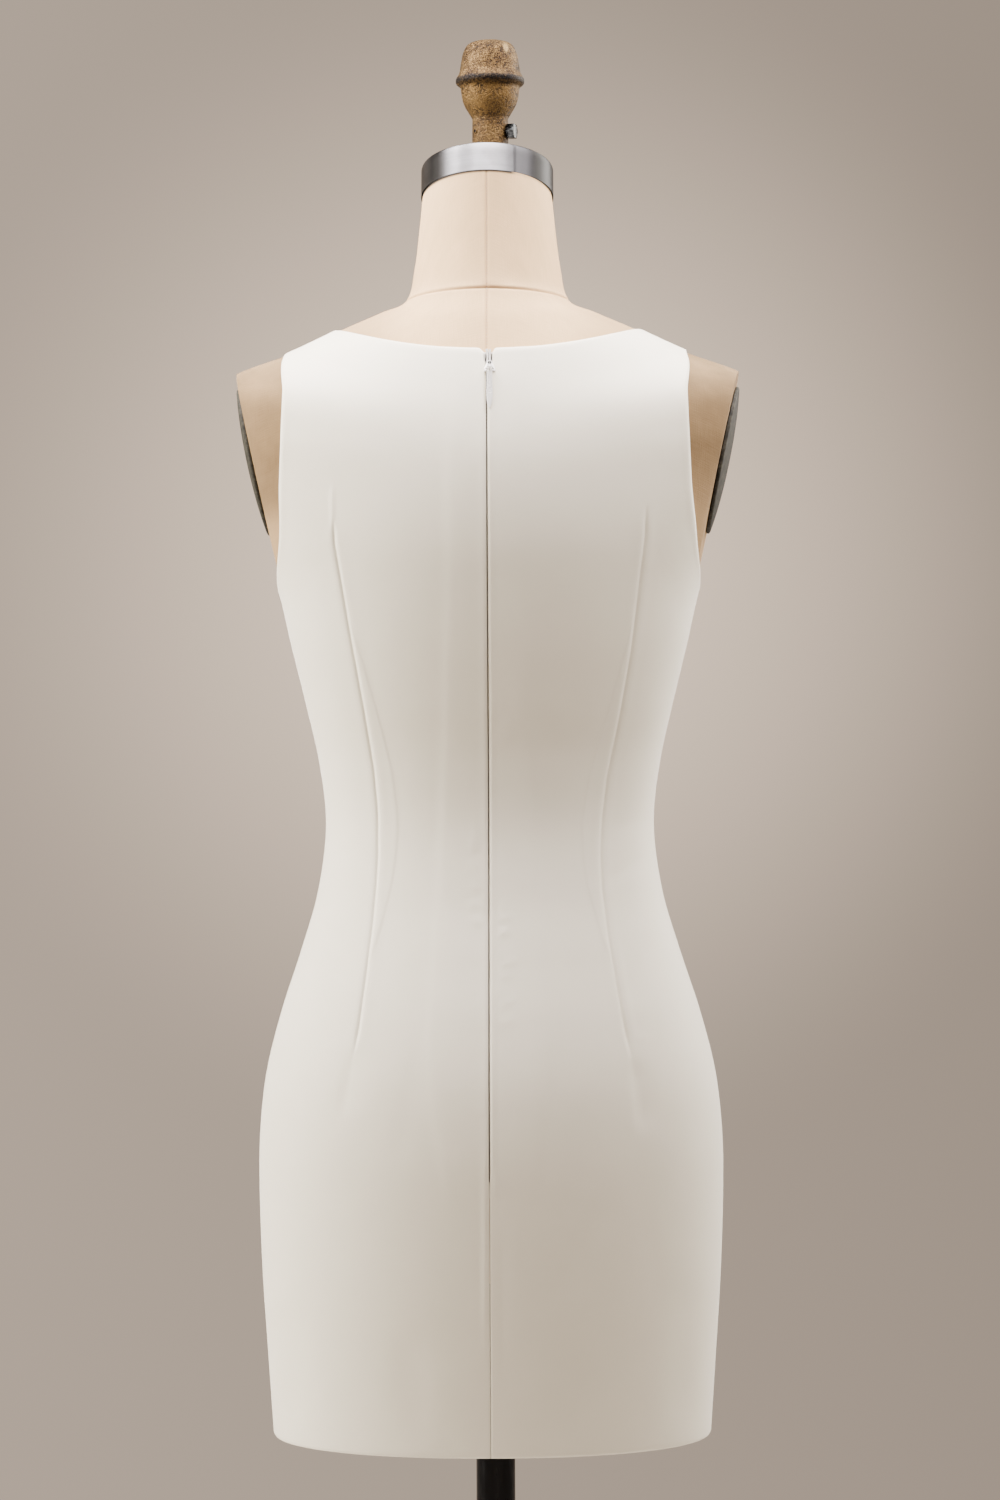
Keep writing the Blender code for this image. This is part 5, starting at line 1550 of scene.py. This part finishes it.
def make_set_bolt(material):
    """Hexagon bolt with chamfered corners and a threaded shank."""
    outer = FINIAL_COLLAR_RADIUS + FIT
    bm = bmesh.new()
    radius = BOLT_HEAD_ACROSS_FLATS / math.sqrt(3.0)
    bmesh.ops.create_cone(bm, cap_ends=True, segments=6, radius1=radius, radius2=radius,
                          depth=BOLT_HEAD_LENGTH)
    ends = [edge for edge in bm.edges
            if abs(edge.verts[0].co.z - edge.verts[1].co.z) < 1e-6]
    bmesh.ops.bevel(bm, geom=ends, offset=0.0007, segments=2, profile=0.5, affect="EDGES",
                    material=-1)
    place = (Matrix.Translation((0.0, 0.0, BOLT_Z)) @ Matrix.Rotation(BOLT_TURN, 4, "Z")
             @ Matrix.Translation((-(outer + BOLT_HEAD_LENGTH / 2.0), 0.0, 0.0))
             @ Matrix.Rotation(-math.pi / 2, 4, "Y"))
    moved(bm, place)
    boss = BOLT_HEAD_LENGTH / 2.0
    shank = [(BOLT_SHANK_RADIUS - BOLT_THREAD_DEPTH * (step % 2),
              -boss - step * BOLT_THREAD_STEP) for step in range(12)]
    profile = [(0.0, boss + 0.0001), (radius * 0.62, boss + 0.0001), (radius * 0.70, boss),
               (BOLT_SHANK_RADIUS, boss), *shank, (0.0, shank[-1][1])]
    stem = turned_shape(profile, 24, place)
    piece = add_piece("set_bolt_hex", joined(bm, stem), material, 30.0)
    settle(piece, "root", "steel", "set_bolt")


# --------------------------------------------------------------------------- the scene
CAMERA_DISTANCE = 2.7
EYE_HEIGHT = 1.0963
YAW = math.radians(0.5)
ROLL = math.radians(0.24)
AIM_SIDE = 0.0054
LENS, SENSOR_WIDTH = 86.4, 36.0
FLOOR_RADIUS = 2.2
BACKDROP = (0.486, 0.390, 0.310)       # at the backdrop's edge, behind the form
GLOW = (0.80, 0.62, 0.47)              # added in the backdrop's middle
GLOW_AIM = (0.0055, -1.0, 0.053)
GLOW_REACH = math.radians(10.2)
BACKDROP_TURN = 0.165                  # lighter to the left by this share
BACKDROP_SIDE = 0.14
ROOM_TINT = (1.0, 0.76, 0.62)
ROOM = {(1, 0, 0): 0.26, (-1, 0, 0): 0.22, (0, 1, 0): 0.42, (0, 0, 1): 0.20, (0, 0, -1): 0.6}
WARM, COOL = (1.0, 0.955, 0.90), (0.96, 0.93, 1.0)
LIGHTS = (
    # name, place, aim, size, watts, tint
    ("left_soft", (2.0, 0.15, 1.35), (0.0, 0.0, 1.05), (0.9, 2.0), 114.0, WARM),
    ("overhead", (0.0, 0.1, 3.2), (0.0, 0.0, 1.3), (1.6, 1.6), 32.0, COOL),
    ("shoulder_soft", (0.0, 0.26, 2.1), (0.0, 0.0, 1.38), (1.1, 0.5), 36.0, COOL),
    ("shoulder_left", (0.5, 0.1, 1.95), (0.14, 0.0, 1.38), (0.3, 0.3), 19.0, COOL),
    ("shoulder_right", (-0.5, 0.1, 1.95), (-0.14, 0.0, 1.38), (0.3, 0.3), 14.0, COOL),
    ("right_edge", (-1.9, -0.35, 1.3), (0.0, 0.0, 1.05), (0.8, 2.0), 16.0, WARM),
    ("front_right", (-1.7, -1.2, 2.0), (0.0, 0.0, 1.2), (1.0, 1.8), 77.0, WARM),
)


def add_area_light(name, place, target, size, power, tint):
    data = bpy.data.lights.new(name, "AREA")
    data.shape = "RECTANGLE"
    data.size, data.size_y = size
    data.energy = power
    data.color = tint
    light = bpy.data.objects.new(name, data)
    bpy.context.scene.collection.objects.link(light)
    light.location = place
    direction = Vector(target) - Vector(place)
    light.rotation_euler = direction.to_track_quat("-Z", "Y").to_euler()


def make_world():
    """A dim warm room with a lit backdrop behind the form, as seen in the photograph."""
    world = bpy.data.worlds.new("studio")
    bpy.context.scene.world = world
    world.use_nodes = True
    sky = Nodes(world.node_tree)
    direction = sky.node("ShaderNodeTexCoord").outputs["Generated"]

    def lobe(axis):
        along = sky.vector("DOT_PRODUCT", "Value", a0=direction, a1=axis)
        return sky.math("POWER", sky.math("MAXIMUM", along, 0.0), 2.0)

    room = 0.0
    for axis, strength in ROOM.items():
        room = sky.math("MULTIPLY_ADD", lobe(axis), strength, room)
    aim = Vector(GLOW_AIM).normalized()
    near = sky.vector("DOT_PRODUCT", "Value", a0=direction, a1=aim)
    angle = sky.math("ARCCOSINE", near)
    glow = sky.spread(angle, 0.0, 1.0, GLOW_REACH, 0.0, "SMOOTHSTEP")
    side = sky.vector("DOT_PRODUCT", "Value", a0=direction, a1=(1.0, 0.0, 0.0))
    turn = sky.spread(side, 1.0 - BACKDROP_TURN, 1.0 + BACKDROP_TURN,
                      -BACKDROP_SIDE, BACKDROP_SIDE)
    flat = sky.vector("SCALE", "Vector", a0=BACKDROP, Scale=turn)
    lit = sky.vector("ADD", "Vector", a0=flat,
                     a1=sky.vector("SCALE", "Vector", a0=GLOW, Scale=glow))
    behind = sky.vector("SCALE", "Vector", a0=lit, Scale=lobe((0.0, -1.0, 0.0)))
    colour = sky.vector("ADD", "Vector", a0=behind,
                        a1=sky.vector("SCALE", "Vector", a0=ROOM_TINT, Scale=room))
    world.node_tree.links.new(colour, world.node_tree.nodes["Background"].inputs["Color"])


def make_studio():
    """Pale round floor, the room and its soft lights."""
    floor = bmesh.new()
    bmesh.ops.create_circle(floor, cap_ends=True, segments=96, radius=FLOOR_RADIUS)
    finish = Finish("pale_floor", (0.62, 0.59, 0.555), 0.6)
    grain = finish.noise(finish.place(), 40.0, 4.0)
    finish.use(roughness=finish.spread(grain, 0.5, 0.7))
    disc = add_piece("floor", floor, finish.material)
    make_world()
    for light in LIGHTS:
        add_area_light(*light)


def make_camera():
    """Camera at eye height behind the form, turned and rolled very slightly."""
    forward = Vector((math.sin(YAW), -math.cos(YAW), 0.0))
    right = Vector((-math.cos(YAW), -math.sin(YAW), 0.0))
    target = Vector((0.0, 0.0, EYE_HEIGHT)) + right * AIM_SIDE
    data = bpy.data.cameras.new("camera")
    data.lens = LENS
    data.sensor_width = SENSOR_WIDTH
    camera = bpy.data.objects.new("camera", data)
    bpy.context.scene.collection.objects.link(camera)
    camera.location = target - forward * CAMERA_DISTANCE
    facing = forward.to_track_quat("-Z", "Y").to_matrix().to_4x4()
    camera.rotation_euler = (facing @ Matrix.Rotation(-ROLL, 4, "Z")).to_euler()
    bpy.context.scene.camera = camera


def main():
    make_camera()
    metal, black = zip_metal_finish(), pole_finish()
    form = make_form_body(canvas_finish())
    make_neck_stitches(thread_finish("canvas_thread", (0.50, 0.41, 0.31)))
    make_dress(crepe_finish())
    # The coil's near-black colour is painted shade for the deep gap of the zip.
    tape, coil = tape_finish(), thread_finish("coil_nylon_painted_shade", (0.045, 0.042, 0.038), 0.0)
    make_zip_tape(tape)
    make_zip_coil(coil)
    make_threads("zip_open_coil", STRANDS, STRAND_DEPTH, tape)
    # Dark threads that stand for the painted shadow between the open threads.
    make_threads("zip_painted_shadow_core", PAINTED_SHADOW_CORES, PAINTED_SHADOW_DEPTH, coil)
    make_zip_slider(metal)
    make_zip_pull(metal)
    make_arm_plates(plate_finish())
    make_neck_band(steel_finish())
    bronze = bronze_finish()
    make_finial(bronze)
    make_collar_hole(bronze, black)
    make_set_bolt(bolt_finish())
    for node in ("pole", "base"):
        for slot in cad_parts[node].material_slots:
            slot.material = black
    make_studio()


main()
